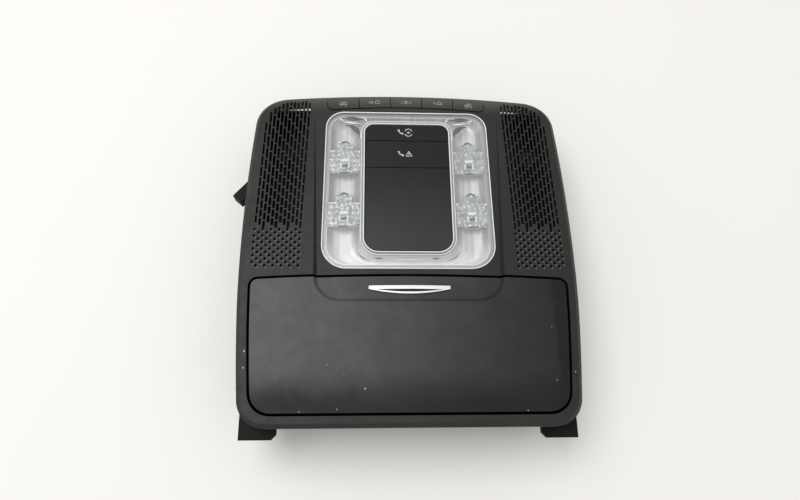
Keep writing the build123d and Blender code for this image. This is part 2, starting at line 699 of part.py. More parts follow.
def tray_liner():
    """A soft mat on the tray's floor, with holes round the stakes' heads."""
    floor = DOOR_WALL + TRAY_WALL + 2 * SEAT_GAP
    mat = layer(tray_plan(TRAY_WALL + LINER_MARGIN), BODY, floor, floor + LINER_THICKNESS)
    mat &= reach_drum(TRAY_RADIUS - TRAY_WALL - LINER_MARGIN, HALF_WIDTH)
    for x, y in STAKES:
        mat -= post(x, y, BELOW, ABOVE, STAKE_HEAD_RADIUS + STAKE_CLEARANCE)
    return mat


def hinge_pin(side):
    outer = side_x(HINGE_Y) - HOUSING_INSET - SEAT_GAP
    return across(PIN_RADIUS, side * (TRAY_HALF_WIDTH - TRAY_WALL), side * outer, HINGE_Y, HINGE_Z)


# Rotary damper on the right side of the bin
def damper_body():
    """A round oil damper with the spindle that its pinion turns on."""
    rim = [(DAMPER_RADIUS * cos(turn), DAMPER_RADIUS * sin(turn)) for turn in can_turns()]
    outline = [(PINION_Y + y, PINION_Z + z) for y, z in rim]
    can = side_extrude(outline, HUB_INNER_X, HUB_INNER_X + DAMPER_WIDTH)
    return can + across(SPINDLE_RADIUS, pinion_start(), HUB_INNER_X + SPARE, PINION_Y, PINION_Z)


def can_turns():
    return [2 * pi * step / DAMPER_SIDES for step in range(DAMPER_SIDES)]


def pinion_start():
    return TRAY_HALF_WIDTH + (SECTOR_WIDTH - PINION_WIDTH) / 2


def damper_pinion():
    teeth = gear_points(PINION_TEETH, 0, PINION_TEETH, PINION_ANGLE + 180)
    outline = [(PINION_Y + y, PINION_Z + z) for y, z in teeth]
    wheel = side_extrude(outline, pinion_start(), pinion_start() + PINION_WIDTH)
    return wheel - across(SPINDLE_RADIUS + SPINDLE_CLEARANCE, 0, HALF_WIDTH, PINION_Y, PINION_Z)


# Leaf springs
def leaf_spring(x0, x1, wall_y, reach, low_z, length, bump_length, thickness):
    """A strip that lies on a wall and bulges out from it by reach, along Y."""
    way = 1 if reach > 0 else -1
    middle = low_z + length / 2
    heights = [low_z, middle - bump_length / 2, middle - bump_length * SPRING_FLAT / 2]
    heights += [2 * middle - z for z in reversed(heights)]
    rises = [0, 0, reach, reach, 0, 0]
    near = [(wall_y + rise - (way * thickness if rise else 0), z) for rise, z in zip(rises, heights)]
    far = [(wall_y + (rise if rise else way * thickness), z) for rise, z in zip(rises, heights)]
    return side_extrude(near + far[::-1], x0, x1)


def catch_spring():
    wall_y = BULKHEAD_Y - HOUSING_WALL - SEAT_GAP
    drop = HINGE_Z - CATCH_LOW_Z - CATCH_LENGTH / 2
    bump_y = HINGE_Y + sqrt(RIDGE_RADIUS**2 - drop**2) + CATCH_GAP
    return leaf_spring(
        -CATCH_HALF_WIDTH, CATCH_HALF_WIDTH, wall_y, bump_y - wall_y,
        CATCH_LOW_Z, CATCH_LENGTH, CATCH_BUMP_LENGTH, CATCH_THICKNESS,
    )


def spring_clip(side):
    x = side * TOWER_X
    length = LAMP_FLOOR_Z - CLIP_TOP_GAP - CLIP_LOW_Z
    return leaf_spring(
        x - CLIP_WIDTH / 2, x + CLIP_WIDTH / 2, TOWER_FRONT_Y + SEAT_GAP, CLIP_SPRING,
        CLIP_LOW_Z, length, length * CLIP_BUMP_SHARE, CLIP_THICKNESS,
    )


# Lens, reflector and optics
def lamp_lens():
    """A clear ring that lies in the channel, with an outer skirt and an inner one round the panel."""
    ring = lens_plan() - panel_plan()
    lens = layer(ring, CHANNEL, -LENS_PROUD, LENS_THICKNESS - LENS_PROUD)
    lens += layer(lens_plan() - offset(lens_plan(), -LENS_RIM), CHANNEL, LENS_PROUD, LENS_SKIRT)
    lens += layer(offset(panel_plan(), LENS_INNER_RIM) - panel_plan(), CHANNEL, LENS_PROUD, LENS_SKIRT)
    return lens


def optic_plan(x, y, grow):
    """A wide optic with a narrower brow in front of it, grown outwards."""
    half, brow_half = OPTIC_WIDTH / 2 + grow, OPTIC_BROW_WIDTH / 2 + grow
    rear, front = y - OPTIC_LENGTH / 2 - grow, y + OPTIC_LENGTH / 2 + grow
    brow = front + OPTIC_BROW_LENGTH
    right = [(half, rear), (half, front), (brow_half, front), (brow_half, brow)]
    outline = [(x + dx, dy) for dx, dy in right] + [(x - dx, dy) for dx, dy in reversed(right)]
    return make_face(Polyline(*outline, close=True))


def reading_optic(x, y):
    """A clear head under the lens on a square foot that stands over its light source."""
    top = LENS_THICKNESS - LENS_PROUD + OPTIC_TOP_GAP
    head = layer(optic_plan(x, y, 0), CHANNEL, top, REFLECTOR_DEPTH + REFLECTOR_WALL)
    foot = Pos(x, y) * Rectangle(OPTIC_FOOT, OPTIC_FOOT)
    low = BOARD_TOP_Z + LED_HEIGHT + LED_GAP
    return head + (prism(foot, low, ABOVE) & lowered(CHANNEL, top + OPTIC_TOP_GAP))


def reflector():
    """A bright pan round the panel, with a seat for the lens and a sleeve that stands on the board."""
    outer = offset(lens_plan(), -LENS_RIM - REFLECTOR_FIT)
    hole = offset(panel_plan(), LENS_INNER_RIM + REFLECTOR_FIT)
    sleeve = offset(hole, REFLECTOR_WALL) - hole
    trough = offset(outer, -REFLECTOR_WALL) - offset(hole, REFLECTOR_WALL)
    pan = layer(outer - hole, CHANNEL, LENS_THICKNESS, REFLECTOR_DEPTH + REFLECTOR_WALL)
    pan -= layer(trough, CHANNEL, 0, REFLECTOR_DEPTH)
    seat = LENS_SKIRT + SEAT_GAP
    pan += layer(lens_plan() - offset(outer, -REFLECTOR_WALL / 2), CHANNEL, seat, seat + REFLECTOR_WALL)
    pan += prism(sleeve, BOARD_TOP_Z + SEAT_GAP, ABOVE) & lowered(CHANNEL, REFLECTOR_DEPTH)
    for x, y in OPTICS.values():
        pan -= prism(optic_plan(x, y, OPTIC_GAP), BOARD_TOP_Z, ABOVE)
    return pan


# Centre panel
def band(plan, low_y, high_y):
    """The part of a plan between two lines across."""
    strip = Pos(0, (low_y + high_y) / 2) * Rectangle(2 * HALF_WIDTH, high_y - low_y)
    return plan & strip


def call_key(low_y, high_y):
    """A key that fills its stretch of the panel, with a stem down to its switch."""
    cap = band(offset(panel_plan(), -PANEL_GAP), low_y + KEY_LINE_GAP / 2, high_y - KEY_LINE_GAP / 2)
    key = layer(cap, CHANNEL, -LENS_PROUD, KEY_THICKNESS - LENS_PROUD)
    stem = post(0, (low_y + high_y) / 2, SWITCH_TOP_Z + KEY_TRAVEL + STEM_GAP, ABOVE, STEM_RADIUS)
    return key + (stem & lowered(CHANNEL, KEY_THICKNESS / 2))


def indicator_window():
    plan = band(offset(panel_plan(), -PANEL_GAP), PANEL_REAR_Y - OVERHANG, KEY_LINE_REAR_Y - KEY_LINE_GAP / 2)
    return layer(plan, CHANNEL, -LENS_PROUD, WINDOW_THICKNESS)


def panel_carrier():
    """A light box on the board that carries the window, with a rib under each key line."""
    outer = offset(panel_plan(), -CARRIER_MARGIN)
    inner = offset(outer, -CARRIER_WALL)
    plan = outer - inner
    for line in (KEY_LINE_REAR_Y, KEY_LINE_FRONT_Y):
        plan += band(outer, line - CARRIER_WALL / 2, line + CARRIER_WALL / 2)
    return prism(plan, BOARD_TOP_Z + SEAT_GAP, ABOVE) & lowered(CHANNEL, WINDOW_THICKNESS + SEAT_GAP)


# Circuit board and what stands on it
def circuit_board():
    half = PARTITION_INNER - BOARD_MARGIN
    wall = HOUSING_INSET + HOUSING_WALL + BOARD_MARGIN
    front = FRONT_EDGE_Y - FRONT_EDGE_RADIUS + sqrt(FRONT_EDGE_RADIUS**2 - half**2) - wall
    board = block(-half, half, BULKHEAD_Y + BOARD_MARGIN, front, BOARD_TOP_Z - BOARD_THICKNESS, BOARD_TOP_Z)
    for x, y in BOARD_SCREWS:
        board -= post(x, y, BELOW, ABOVE, SCREW_RADIUS + SCREW_CLEARANCE)
    return board


def switch_places():
    keys = [(0, (KEY_LINE_REAR_Y + KEY_LINE_FRONT_Y) / 2), (0, (KEY_LINE_FRONT_Y + PANEL_FRONT_Y) / 2)]
    return [button_place(index) for index in range(BUTTON_COUNT)] + keys


def tact_switch(x, y):
    half = SWITCH_SIZE / 2
    top = BOARD_TOP_Z + SWITCH_HEIGHT
    case = block(x - half, x + half, y - half, y + half, BOARD_TOP_Z, top)
    return case + post(x, y, top - PLUNGER_HEIGHT, SWITCH_TOP_Z, PLUNGER_RADIUS)


def reading_led(x, y):
    half = LED_SIZE / 2
    return block(x - half, x + half, y - half, y + half, BOARD_TOP_Z, BOARD_TOP_Z + LED_HEIGHT)


def microphone(side):
    """A capsule in its boot, held against the inside of a grille."""
    x = side * MICROPHONE_X
    low = section_z(MICROPHONE_Y) - BEZEL_WALL - MICROPHONE_HEIGHT
    return post(x, MICROPHONE_Y, low, ABOVE, MICROPHONE_RADIUS, MICROPHONE_SIDES) & UNDER_BEZEL


# Screws
def housing_screw(x, y):
    shoulder = BOSS_SEAT_Z - SCREW_GRIP
    shank = post(x, y, shoulder - SCREW_HEAD_HEIGHT / 2, screw_end_z(), SCREW_RADIUS)
    return shank + post(x, y, shoulder - SCREW_HEAD_HEIGHT, shoulder, SCREW_HEAD_RADIUS, SCREW_HEAD_SIDES)


def board_screw(x, y):
    shank = post(x, y, BOARD_TOP_Z - BOARD_SCREW_LENGTH, BOARD_TOP_Z + SCREW_HEAD_HEIGHT / 2, SCREW_RADIUS)
    return shank + post(x, y, BOARD_TOP_Z, BOARD_TOP_Z + SCREW_HEAD_HEIGHT, SCREW_HEAD_RADIUS, SCREW_HEAD_SIDES)


# Harness connector
def connector_bar(start, length, spare):
    """A bar along the connector's own direction, grown sideways by spare."""
    tip_x = -side_x(CONNECTOR_TIP_Y) - CONNECTOR_REACH
    place = Pos(tip_x, CONNECTOR_TIP_Y, FACE_HEIGHT - CONNECTOR_DROP + spare) * Rot(Z=CONNECTOR_ANGLE)
    bar = Box(
        length, CONNECTOR_WIDTH + 2 * spare, CONNECTOR_HEIGHT + 2 * spare,
        align=(Align.MIN, Align.CENTER, Align.MAX),
    )
    return place * (Pos(start, 0, 0) * bar)


def harness_connector():
    return connector_bar(0, CONNECTOR_LENGTH, 0)


# Rear housing
def housing_plan():
    """The outline moved in, with the front corners behind the grilles left open."""
    plan = outline_plan(HOUSING_INSET)
    step_x = PARTITION_INNER + HOUSING_WALL
    for side in (-1, 1):
        plan -= Pos(side * (step_x + HALF_WIDTH), WING_FRONT_Y + OVERHANG) * Rectangle(2 * HALF_WIDTH, 2 * OVERHANG)
    return plan


def housing_shell():
    """A deep bin well at the rear and a shallower lamp chamber in front, with a bulkhead between."""
    plan = housing_plan()
    well = band(plan, REAR_EDGE_Y, BULKHEAD_Y)
    chamber = band(plan, BULKHEAD_Y - HOUSING_WALL, FRONT_EDGE_Y)
    shell = prism(well, 0, ABOVE) + prism(chamber, LAMP_FLOOR_Z, ABOVE)
    for side in (-1, 1):
        x, half = side * TOWER_X, TOWER_WIDTH / 2
        shell += block(x - half, x + half, TOWER_FRONT_Y - TOWER_LENGTH, TOWER_FRONT_Y, 0, LAMP_FLOOR_Z + SPARE)
    shell &= UNDER_BEZEL
    shell += hook_tabs()
    shell += side_locator()
    shell += connector_bar(CONNECTOR_LENGTH - SHROUD_LENGTH, SHROUD_LENGTH, SHROUD_FIT + SHROUD_WALL)
    shell -= prism(offset(well, -HOUSING_WALL), HOUSING_WALL, ABOVE)
    shell -= prism(offset(chamber, -HOUSING_WALL), LAMP_FLOOR_Z + HOUSING_WALL, ABOVE)
    for side in (-1, 1):
        x, half = side * TOWER_X, TOWER_WIDTH / 2 - HOUSING_WALL
        rear, front = TOWER_FRONT_Y - TOWER_LENGTH + HOUSING_WALL, TOWER_FRONT_Y - HOUSING_WALL
        shell -= block(x - half, x + half, rear, front, HOUSING_WALL, LAMP_FLOOR_Z + 2 * HOUSING_WALL)
    return shell - connector_bar(0, CONNECTOR_LENGTH + SHROUD_FIT, SHROUD_FIT)


def hook_tabs():
    """Two flat tabs that reach out behind the rear edge, with their inner corners cut."""
    outer = HALF_WIDTH - TAB_SIDE_INSET
    inner = outer - TAB_WIDTH
    top = FACE_HEIGHT - TAB_DROP
    tabs = []
    for side in (-1, 1):
        corners = [
            (side * outer, TAB_REACH_Y),
            (side * (inner + TAB_CHAMFER), TAB_REACH_Y),
            (side * inner, TAB_REACH_Y + TAB_CHAMFER),
            (side * inner, REAR_EDGE_Y + HOUSING_INSET + HOUSING_WALL),
            (side * outer, REAR_EDGE_Y + REAR_CORNER_RADIUS),
        ]
        tabs.append(prism(make_face(Polyline(*corners, close=True)), top - TAB_THICKNESS, top))
    return tabs


def side_locator():
    """A small flat tab on the right side."""
    half = LOCATOR_WIDTH / 2
    inner = side_x(LOCATOR_Y) - HOUSING_INSET - HOUSING_WALL
    outer = side_x(LOCATOR_Y) + LOCATOR_REACH
    top = FACE_HEIGHT - LOCATOR_DROP
    return block(inner, outer, LOCATOR_Y - half, LOCATOR_Y + half, top - LOCATOR_THICKNESS, top)


def rear_housing():
    """The shell with its light walls, screw columns, board posts, hinge bearings and damper seat."""
    housing = housing_shell()
    strip = prism(strip_plan(-strip_half(), strip_half(), BUTTON_GAP), BELOW, ABOVE)
    housing -= strip - lowered(BLANK, BUTTON_DEPTH + BUTTON_TRAVEL + BUTTON_GAP)
    walls = prism(offset(housing_plan(), -HOUSING_WALL / 2), LAMP_FLOOR_Z + HOUSING_WALL / 2, ABOVE) & UNDER_BEZEL
    for side in (-1, 1):
        near, far = side * PARTITION_INNER, side * (PARTITION_INNER + PARTITION_WALL)
        light_wall = block(min(near, far), max(near, far), BULKHEAD_Y - HOUSING_WALL / 2, FRONT_EDGE_Y, BELOW, ABOVE)
        housing += walls & light_wall
    for x, y in BOSSES:
        housing += post(x, y, LAMP_FLOOR_Z, BOSS_SEAT_Z - SEAT_GAP, COLUMN_RADIUS)
    for x, y in BOSSES:
        housing -= post(x, y, BELOW, BOSS_SEAT_Z - SCREW_GRIP, SCREW_HEAD_RADIUS + SCREW_CLEARANCE)
        housing -= post(x, y, BELOW, ABOVE, SCREW_RADIUS + SCREW_CLEARANCE)
    for x, y in BOARD_SCREWS:
        seat = BOARD_TOP_Z - BOARD_THICKNESS - SEAT_GAP
        housing += post(x, y, LAMP_FLOOR_Z + HOUSING_WALL / 2, seat, POST_RADIUS)
        housing -= post(x, y, BOARD_TOP_Z - BOARD_SCREW_LENGTH - SPARE, seat + SPARE, SCREW_RADIUS + PILOT_CLEARANCE)
    for side in (-1, 1):
        wall_x = side_x(HINGE_Y) - HOUSING_INSET - HOUSING_WALL / 2
        housing += across(HUB_RADIUS, side * HUB_INNER_X, side * wall_x, HINGE_Y, HINGE_Z)
    housing -= across(PIN_RADIUS + PIN_CLEARANCE, -HALF_WIDTH, HALF_WIDTH, HINGE_Y, HINGE_Z)
    seat_x = HUB_INNER_X + DAMPER_WIDTH + SEAT_GAP
    wall_x = side_x(PINION_Y) - HOUSING_INSET - HOUSING_WALL / 2
    return housing + across(DAMPER_SEAT_RADIUS, seat_x, wall_x, PINION_Y, PINION_Z)


OPTICS = {
    f"{row}_{side}": (sign * OPTIC_X, y)
    for row, y in (("front", OPTIC_FRONT_Y), ("rear", OPTIC_REAR_Y))
    for side, sign in (("left", -1), ("right", 1))
}
SIDES = {"left": -1, "right": 1}
BUTTONS = ["map_button_left", "door_button", "all_lamps_button", "room_button", "map_button_right"]


def pieces():
    """Every piece by its name."""
    made = {
        "bezel": bezel(),
        "rear_housing": rear_housing(),
        "lamp_lens": lamp_lens(),
        "reflector": reflector(),
        "circuit_board": circuit_board(),
        "reading_leds": Compound(children=[reading_led(x, y) for x, y in OPTICS.values()]),
        "tact_switches": Compound(children=[tact_switch(x, y) for x, y in switch_places()]),
        "panel_carrier": panel_carrier(),
        "indicator_window": indicator_window(),
        "call_key_front": call_key(KEY_LINE_FRONT_Y, PANEL_FRONT_Y),
        "call_key_rear": call_key(KEY_LINE_REAR_Y, KEY_LINE_FRONT_Y),
        "damper_body": damper_body(),
        "damper_pinion": damper_pinion(),
        "catch_spring": catch_spring(),
        "housing_screws": Compound(children=[housing_screw(x, y) for x, y in BOSSES]),
        "board_screws": Compound(children=[board_screw(x, y) for x, y in BOARD_SCREWS]),
        "harness_connector": harness_connector(),
        "door_panel": door_panel(),
        "glasses_tray": glasses_tray(),
        "tray_liner": tray_liner(),
        "handle_trim": handle_trim(),
    }
    for name, place in OPTICS.items():
        made[f"reading_optic_{name}"] = reading_optic(*place)
    for name, side in SIDES.items():
        made[f"microphone_{name}"] = microphone(side)
        made[f"hinge_pin_{name}"] = hinge_pin(side)
        made[f"spring_clip_{name}"] = spring_clip(side)
    for index, name in enumerate(BUTTONS):
        made[name] = lamp_button(index)
    return made


os.makedirs("parts", exist_ok=True)
for piece_name, piece in pieces().items():
    export_step(piece, f"parts/{piece_name}.step")
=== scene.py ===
from math import radians

import bpy
import numpy as np
from mathutils import Matrix, Vector


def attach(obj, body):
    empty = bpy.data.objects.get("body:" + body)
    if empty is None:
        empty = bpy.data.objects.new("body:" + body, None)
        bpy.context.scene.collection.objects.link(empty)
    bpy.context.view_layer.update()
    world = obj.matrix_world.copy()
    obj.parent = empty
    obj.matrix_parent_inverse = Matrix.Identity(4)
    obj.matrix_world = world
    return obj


bl_info = {
    "name": "Overhead Console Lamp",
    "version": (1, 0, 0),
    "blender": (4, 5, 0),
    "location": "3D View > Sidebar > Console Lamp",
    "description": "Dresses the overhead console lamp: plastics, silvered pan, cut optics, prints and wear",
    "category": "Object",
}

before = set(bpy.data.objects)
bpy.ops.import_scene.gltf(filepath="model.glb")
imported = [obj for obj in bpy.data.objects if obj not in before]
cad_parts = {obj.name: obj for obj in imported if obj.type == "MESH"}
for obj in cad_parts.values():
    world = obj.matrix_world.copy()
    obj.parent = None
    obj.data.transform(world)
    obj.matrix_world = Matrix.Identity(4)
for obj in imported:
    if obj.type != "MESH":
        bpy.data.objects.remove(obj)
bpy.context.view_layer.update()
MM = 0.001

# Sizes that repeat the solids, in millimetres
FACE_HEIGHT = 60.0
BEND_REAR_Y, BEND_FRONT_Y = 10.0, 46.0
FACE_SLOPE = radians(5.0)
ROLL_Y, ROLL_RADIUS = 160.5, 50.0
CHANNEL_DEPTH, CHANNEL_REAR_Y, CHANNEL_FADE_Y = 3.4, 24.6, 165.0
LENS_PROUD, BUTTON_PROUD = 0.3, 0.5
LENS_LOOP = {
    "rear": 46.2, "front": 160.0, "half": 55.2, "front_half": 54.7,
    "rear_round": 16.0, "front_round": 12.5,
}
PANEL_LOOP = {
    "rear": 57.8, "front": 150.5, "half": 28.2, "front_half": 28.2,
    "rear_round": 9.5, "front_round": 6.0,
}
OPTIC_X, OPTIC_ROWS = 41.5, (84.0, 122.5)
OPTIC_SIZE, BROW_SIZE = (21.7, 17.5), (10.5, 6.5)
BUTTON_PITCH, BUTTON_MID_Y, BUTTON_ARC_RADIUS = 21.7, 168.6, 500.0
KEY_ROWS = (144.0, 127.3)
GRILLE_INNER_X, GRILLE_OUTER_X = 68.2, 96.3
GRILLE_COLUMNS, GRILLE_REAR_Y = 12, 72.5

# Sizes of the added details, in millimetres
SHOULDER_DEPTH, TROUGH_DEPTH = 1.92, 8.85
SHOULDER_NEAR, SHOULDER_FAR = 0.5, 2.9
# How far under the channel the pan's painted reflections lie, and how far they stand up
REFLECTION_DEPTH, REFLECTION_LIFT = 1.85, 0.25
OPTIC_DEPTH, CREST_RISE = 2.7, 0.86
DIMPLE_ROW_PITCH, DIMPLE_FIRST_Y = 4.4, 47.0
DIMPLE_REAR_Y, DIMPLE_FRONT_Y = 46.0, GRILLE_REAR_Y - 1.0
# Painted highlights along the lens's edges: their inset and lift, and a second line by the panel
EDGE_INSET, EDGE_LIFT = 0.1, 0.04
RIDGE_OFFSET, RIDGE_LIFT = 2.2, 0.03
HANDSET_X = -4.6
SPECK_HEIGHT = 0.12

# Shares of the added details
DIMPLE_SQUEEZE, DIMPLE_CORE = 0.72, 0.7
# Width of the second painted highlight as a share of the first
RIDGE_SHARE = 0.6
SYMBOL_SCALE = 1.2
SPECK_WOBBLE = 0.22

# Where a finish changes, in millimetres: from none of it to all of it
# Painted highlight on the bezel's front roll, and painted reflection across the pan's rear end
PALE_FRONT_Y, PALE_REAR_Y = (158, 176), (62, 52)
# Painted sheen on the door: where it fades out to the right, to the rear and at the right edge, and how far
# its edge wavers
SHEEN_FADE_X, SHEEN_FADE_Y, SHEEN_EDGE_X = (105, -105), (-37, -12), (89.5, 85.5)
SHEEN_WAVER = 50
# Painted shade in the pan, along its inner and outer walls
INNER_WALL_X, INNER_WALL_END_X = (28.5, 30.5), (37.0, 33.5)
OUTER_WALL_X, OUTER_WALL_END_X = (47.5, 50.0), (53.0, 51.5)
WALL_Y, WALL_END_Y = (60, 70), (152, 146)
PANEL_SHADE_Y = (125, 58)
# Painted shade on the handle: dark below this height, bright above it
HANDLE_SHINE_Z = (56.7, 57.2)

# Between these lie most values of a noise
NOISE_LOW, NOISE_HIGH = 0.2, 0.8

# Pale specks and chips: x, y and half sizes in millimetres
DOOR_SPECKS = [
    (-26.6, -26.6, 0.55, 0.4),
    (-42.6, -38, 0.35, 0.25),
    (-49, -13, 0.3, 0.22),
    (-39, -18.3, 0.28, 0.2),
    (85, 9.2, 0.3, 0.25),
    (85.5, -22.3, 0.35, 0.25),
    (-64, -39.4, 0.4, 0.25),
    (67, -39.4, 0.35, 0.25),
]
CASING_SPECKS = [
    (-97.4, -42.6, 0.6, 0.35),
    (-96.9, -5, 0.4, 0.7),
    (-96.9, -14.5, 0.35, 0.55),
    (96.9, -17.6, 0.3, 0.4),
]

# Nodes that share a finish
BUTTONS = ["map_button_left", "door_button", "all_lamps_button", "room_button", "map_button_right"]
KEYS = ["call_key_front", "call_key_rear"]
OPTICS = [f"reading_optic_{end}_{side}" for end in ("front", "rear") for side in ("left", "right")]
BLACK_MOULDINGS = ["rear_housing", "glasses_tray", "panel_carrier", "harness_connector"]
STEEL_PIECES = [
    "hinge_pin_left", "hinge_pin_right", "spring_clip_left", "spring_clip_right",
    "catch_spring", "housing_screws", "board_screws",
]


# Heights in millimetres
def face_height(y):
    """Height of the face at y: level, an arc, a straight slope and a tighter arc, tangent where they meet."""
    y = np.asarray(y, float)
    bend_run = BEND_FRONT_Y - BEND_REAR_Y
    bend_radius = bend_run / np.sin(FACE_SLOPE)
    into_bend = np.clip(y - BEND_REAR_Y, 0, bend_run)
    bend_drop = bend_radius - np.sqrt(bend_radius**2 - into_bend**2)
    slope_drop = np.clip(y - BEND_FRONT_Y, 0, ROLL_Y - BEND_FRONT_Y) * np.tan(FACE_SLOPE)
    into_roll = np.clip(y - ROLL_Y, 0, None) + ROLL_RADIUS * np.sin(FACE_SLOPE)
    roll_drop = ROLL_RADIUS * np.cos(FACE_SLOPE) - np.sqrt(ROLL_RADIUS**2 - into_roll**2)
    return FACE_HEIGHT - bend_drop - slope_drop - roll_drop


def channel_height(y):
    """Height of the channel's floor at y: the face tipped about the line where the channel runs out."""
    y = np.asarray(y, float)
    tip = np.arctan(CHANNEL_DEPTH / (CHANNEL_FADE_Y - CHANNEL_REAR_Y))
    pivot_z = face_height(CHANNEL_FADE_Y)
    from_pivot = (y - CHANNEL_FADE_Y) + (face_height(y) - pivot_z) * np.sin(tip)
    source_y = CHANNEL_FADE_Y + from_pivot / np.cos(tip)
    source_rise = face_height(source_y) - pivot_z
    return pivot_z + (source_y - CHANNEL_FADE_Y) * np.sin(tip) + source_rise * np.cos(tip)


def button_top(y):
    """Height of the buttons' faces."""
    return face_height(y) + BUTTON_PROUD


def lens_top(y):
    """Height of the faces of the lens and the keys."""
    return channel_height(y) + LENS_PROUD


def reflection_foot(y):
    """Height of the painted reflections in the pan, just over its shoulders."""
    return channel_height(y) - REFLECTION_DEPTH


def optic_top(y):
    """Height of the optics' heads, a little under the lens."""
    return channel_height(y) - OPTIC_DEPTH


def optic_crest(y):
    """Height just over the crests of the facets."""
    return optic_top(y) + CREST_RISE


# Meshes from arrays
def grid_faces(rows, columns, around=False):
    """Corner numbers of the four-sided faces of a rows by columns grid, closed across its rows if around."""
    numbers = np.arange(rows * columns).reshape(rows, columns)
    if around:
        numbers = np.vstack([numbers, numbers[:1]])
    corners = [numbers[:-1, :-1], numbers[1:, :-1], numbers[1:, 1:], numbers[:-1, 1:]]
    return np.stack(corners, axis=-1).reshape(-1, 4)


def new_object(name, data):
    """A new object with this data, linked to the scene."""
    thing = bpy.data.objects.new(name, data)
    bpy.context.scene.collection.objects.link(thing)
    return thing


def new_mesh(name, points, faces, material, smooth=False):
    """A new mesh object in metres with one material, shaded smooth or flat."""
    mesh = bpy.data.meshes.new(name)
    mesh.from_pydata(points, [], faces.tolist())
    mesh.polygons.foreach_set("use_smooth", np.full(len(faces), smooth))
    mesh.materials.append(material)
    mesh.update()
    return new_object(name, mesh)


def add_piece(name, parts, body, material, smooth=True):
    """A mesh object from (points in millimetres, faces) parts, riding on a body."""
    clouds, nets = zip(*parts)
    starts = np.cumsum([0] + [len(cloud) for cloud in clouds[:-1]])
    faces = np.concatenate([net + start for net, start in zip(nets, starts)])
    piece = new_mesh(name, np.concatenate(clouds) * MM, faces, material, smooth)
    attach(piece, body)


# Paths and raised lines
def arc_path(x, y, radius, start, end, count=13):
    """Points on an arc about (x, y), from one angle to another in degrees."""
    turn = np.radians(np.linspace(start, end, count))
    return np.column_stack([x + radius * np.cos(turn), y + radius * np.sin(turn)])


def line_path(*points, count=5):
    """Points along straight runs between corners."""
    corners = np.asarray(points, float)
    share = np.linspace(0, len(corners) - 1, count * (len(corners) - 1) + 1)
    return np.column_stack([np.interp(share, np.arange(len(corners)), corners[:, k]) for k in (0, 1)])


def rounded_loop(loop, grow, arc=12, run=24):
    """Points once round a four-sided loop with rounded corners, moved outwards by grow. They go round
    anticlockwise from the right end of its rear side: each corner is a quarter arc and each side straight."""
    half, rear, front = loop["half"] + grow, loop["rear"] - grow, loop["front"] + grow
    rear_round, front_round = loop["rear_round"] + grow, loop["front_round"] + grow
    rounds = [rear_round, front_round, front_round, rear_round]
    signs = [(1, -1), (1, 1), (-1, 1), (-1, -1)]
    corners = []
    for index, ((side, end), corner_round) in enumerate(zip(signs, rounds)):
        turn = np.radians(np.linspace(-90, 0, arc) + 90 * index)
        centre = (side * (half - corner_round), (front if end > 0 else rear) - end * corner_round)
        corners.append(np.column_stack([np.cos(turn), np.sin(turn)]) * corner_round + centre)
    stretches = []
    share = np.linspace(0, 1, run + 1)[1:-1, None]
    for corner, following in zip(corners, corners[1:] + corners[:1]):
        stretches += [corner, corner[-1] * (1 - share) + following[0] * share]
    points = np.concatenate(stretches)
    lean = (loop["front_half"] - loop["half"]) / loop["half"] / (loop["front"] - loop["rear"])
    points[:, 0] *= 1 + lean * (points[:, 1] - loop["rear"])
    return points


def ribbon(path, width, height, lift, closed=False, depth=0.12):
    """A raised line along a path: at each point the profile goes up one side, across and down the other.
    path holds (x, y) points, width is one or one for each point, and height gives the carrier's z at y."""
    path = np.asarray(path, float)
    if closed:
        along = np.roll(path, -1, axis=0) - np.roll(path, 1, axis=0)
    else:
        along = np.gradient(path, axis=0)
    along /= np.linalg.norm(along, axis=1, keepdims=True)
    across = np.column_stack([-along[:, 1], along[:, 0]])
    half = np.broadcast_to(np.asarray(width, float) / 2, len(path))[:, None]
    left, right = path + across * half, path - across * half
    columns = []
    for side, rise in ((left, -depth), (left, lift), (right, lift), (right, -depth)):
        columns.append(np.column_stack([side, height(side[:, 1]) + rise]))
    points = np.stack(columns, axis=1)
    return points.reshape(-1, 3), grid_faces(len(path), 4, closed)[:, ::-1]


# Shader nodes
def shader(name, colour, roughness, metallic=0.0, specular=0.5):
    """A new material with its Principled shader set, as (material, node tree, shader node)."""
    material = bpy.data.materials.new(name)
    material.use_nodes = True
    tree = material.node_tree
    bsdf = tree.nodes["Principled BSDF"]
    bsdf.inputs["Base Color"].default_value = (*colour, 1)
    bsdf.inputs["Roughness"].default_value = roughness
    bsdf.inputs["Metallic"].default_value = metallic
    bsdf.inputs["Specular IOR Level"].default_value = specular
    return material, tree, bsdf


def feed(tree, socket, value):
    """Links an output into a socket, or sets a plain value on it."""
    if isinstance(value, bpy.types.NodeSocket):
        tree.links.new(value, socket)
    else:
        socket.default_value = value


def place(tree):
    """The Object coordinates of a material, in metres."""
    return tree.nodes.new("ShaderNodeTexCoord").outputs["Object"]


def axes(tree):
    """Object coordinates split into x, y and z."""
    node = tree.nodes.new("ShaderNodeSeparateXYZ")
    feed(tree, node.inputs[0], place(tree))
    return tuple(node.outputs)


def calc(tree, operation, first, second=0.0, third=0.0):
    """One step of arithmetic on outputs or plain numbers."""
    node = tree.nodes.new("ShaderNodeMath")
    node.operation = operation
    for socket, value in zip(node.inputs, (first, second, third)):
        feed(tree, socket, value)
    return node.outputs[0]


def times(tree, first, *others):
    """The product of outputs or plain numbers."""
    for other in others:
        first = calc(tree, "MULTIPLY", first, other)
    return first


def between(tree, value, low, high):
    """One where a value lies between two numbers, and zero elsewhere."""
    return times(tree, calc(tree, "GREATER_THAN", value, low), calc(tree, "LESS_THAN", value, high))


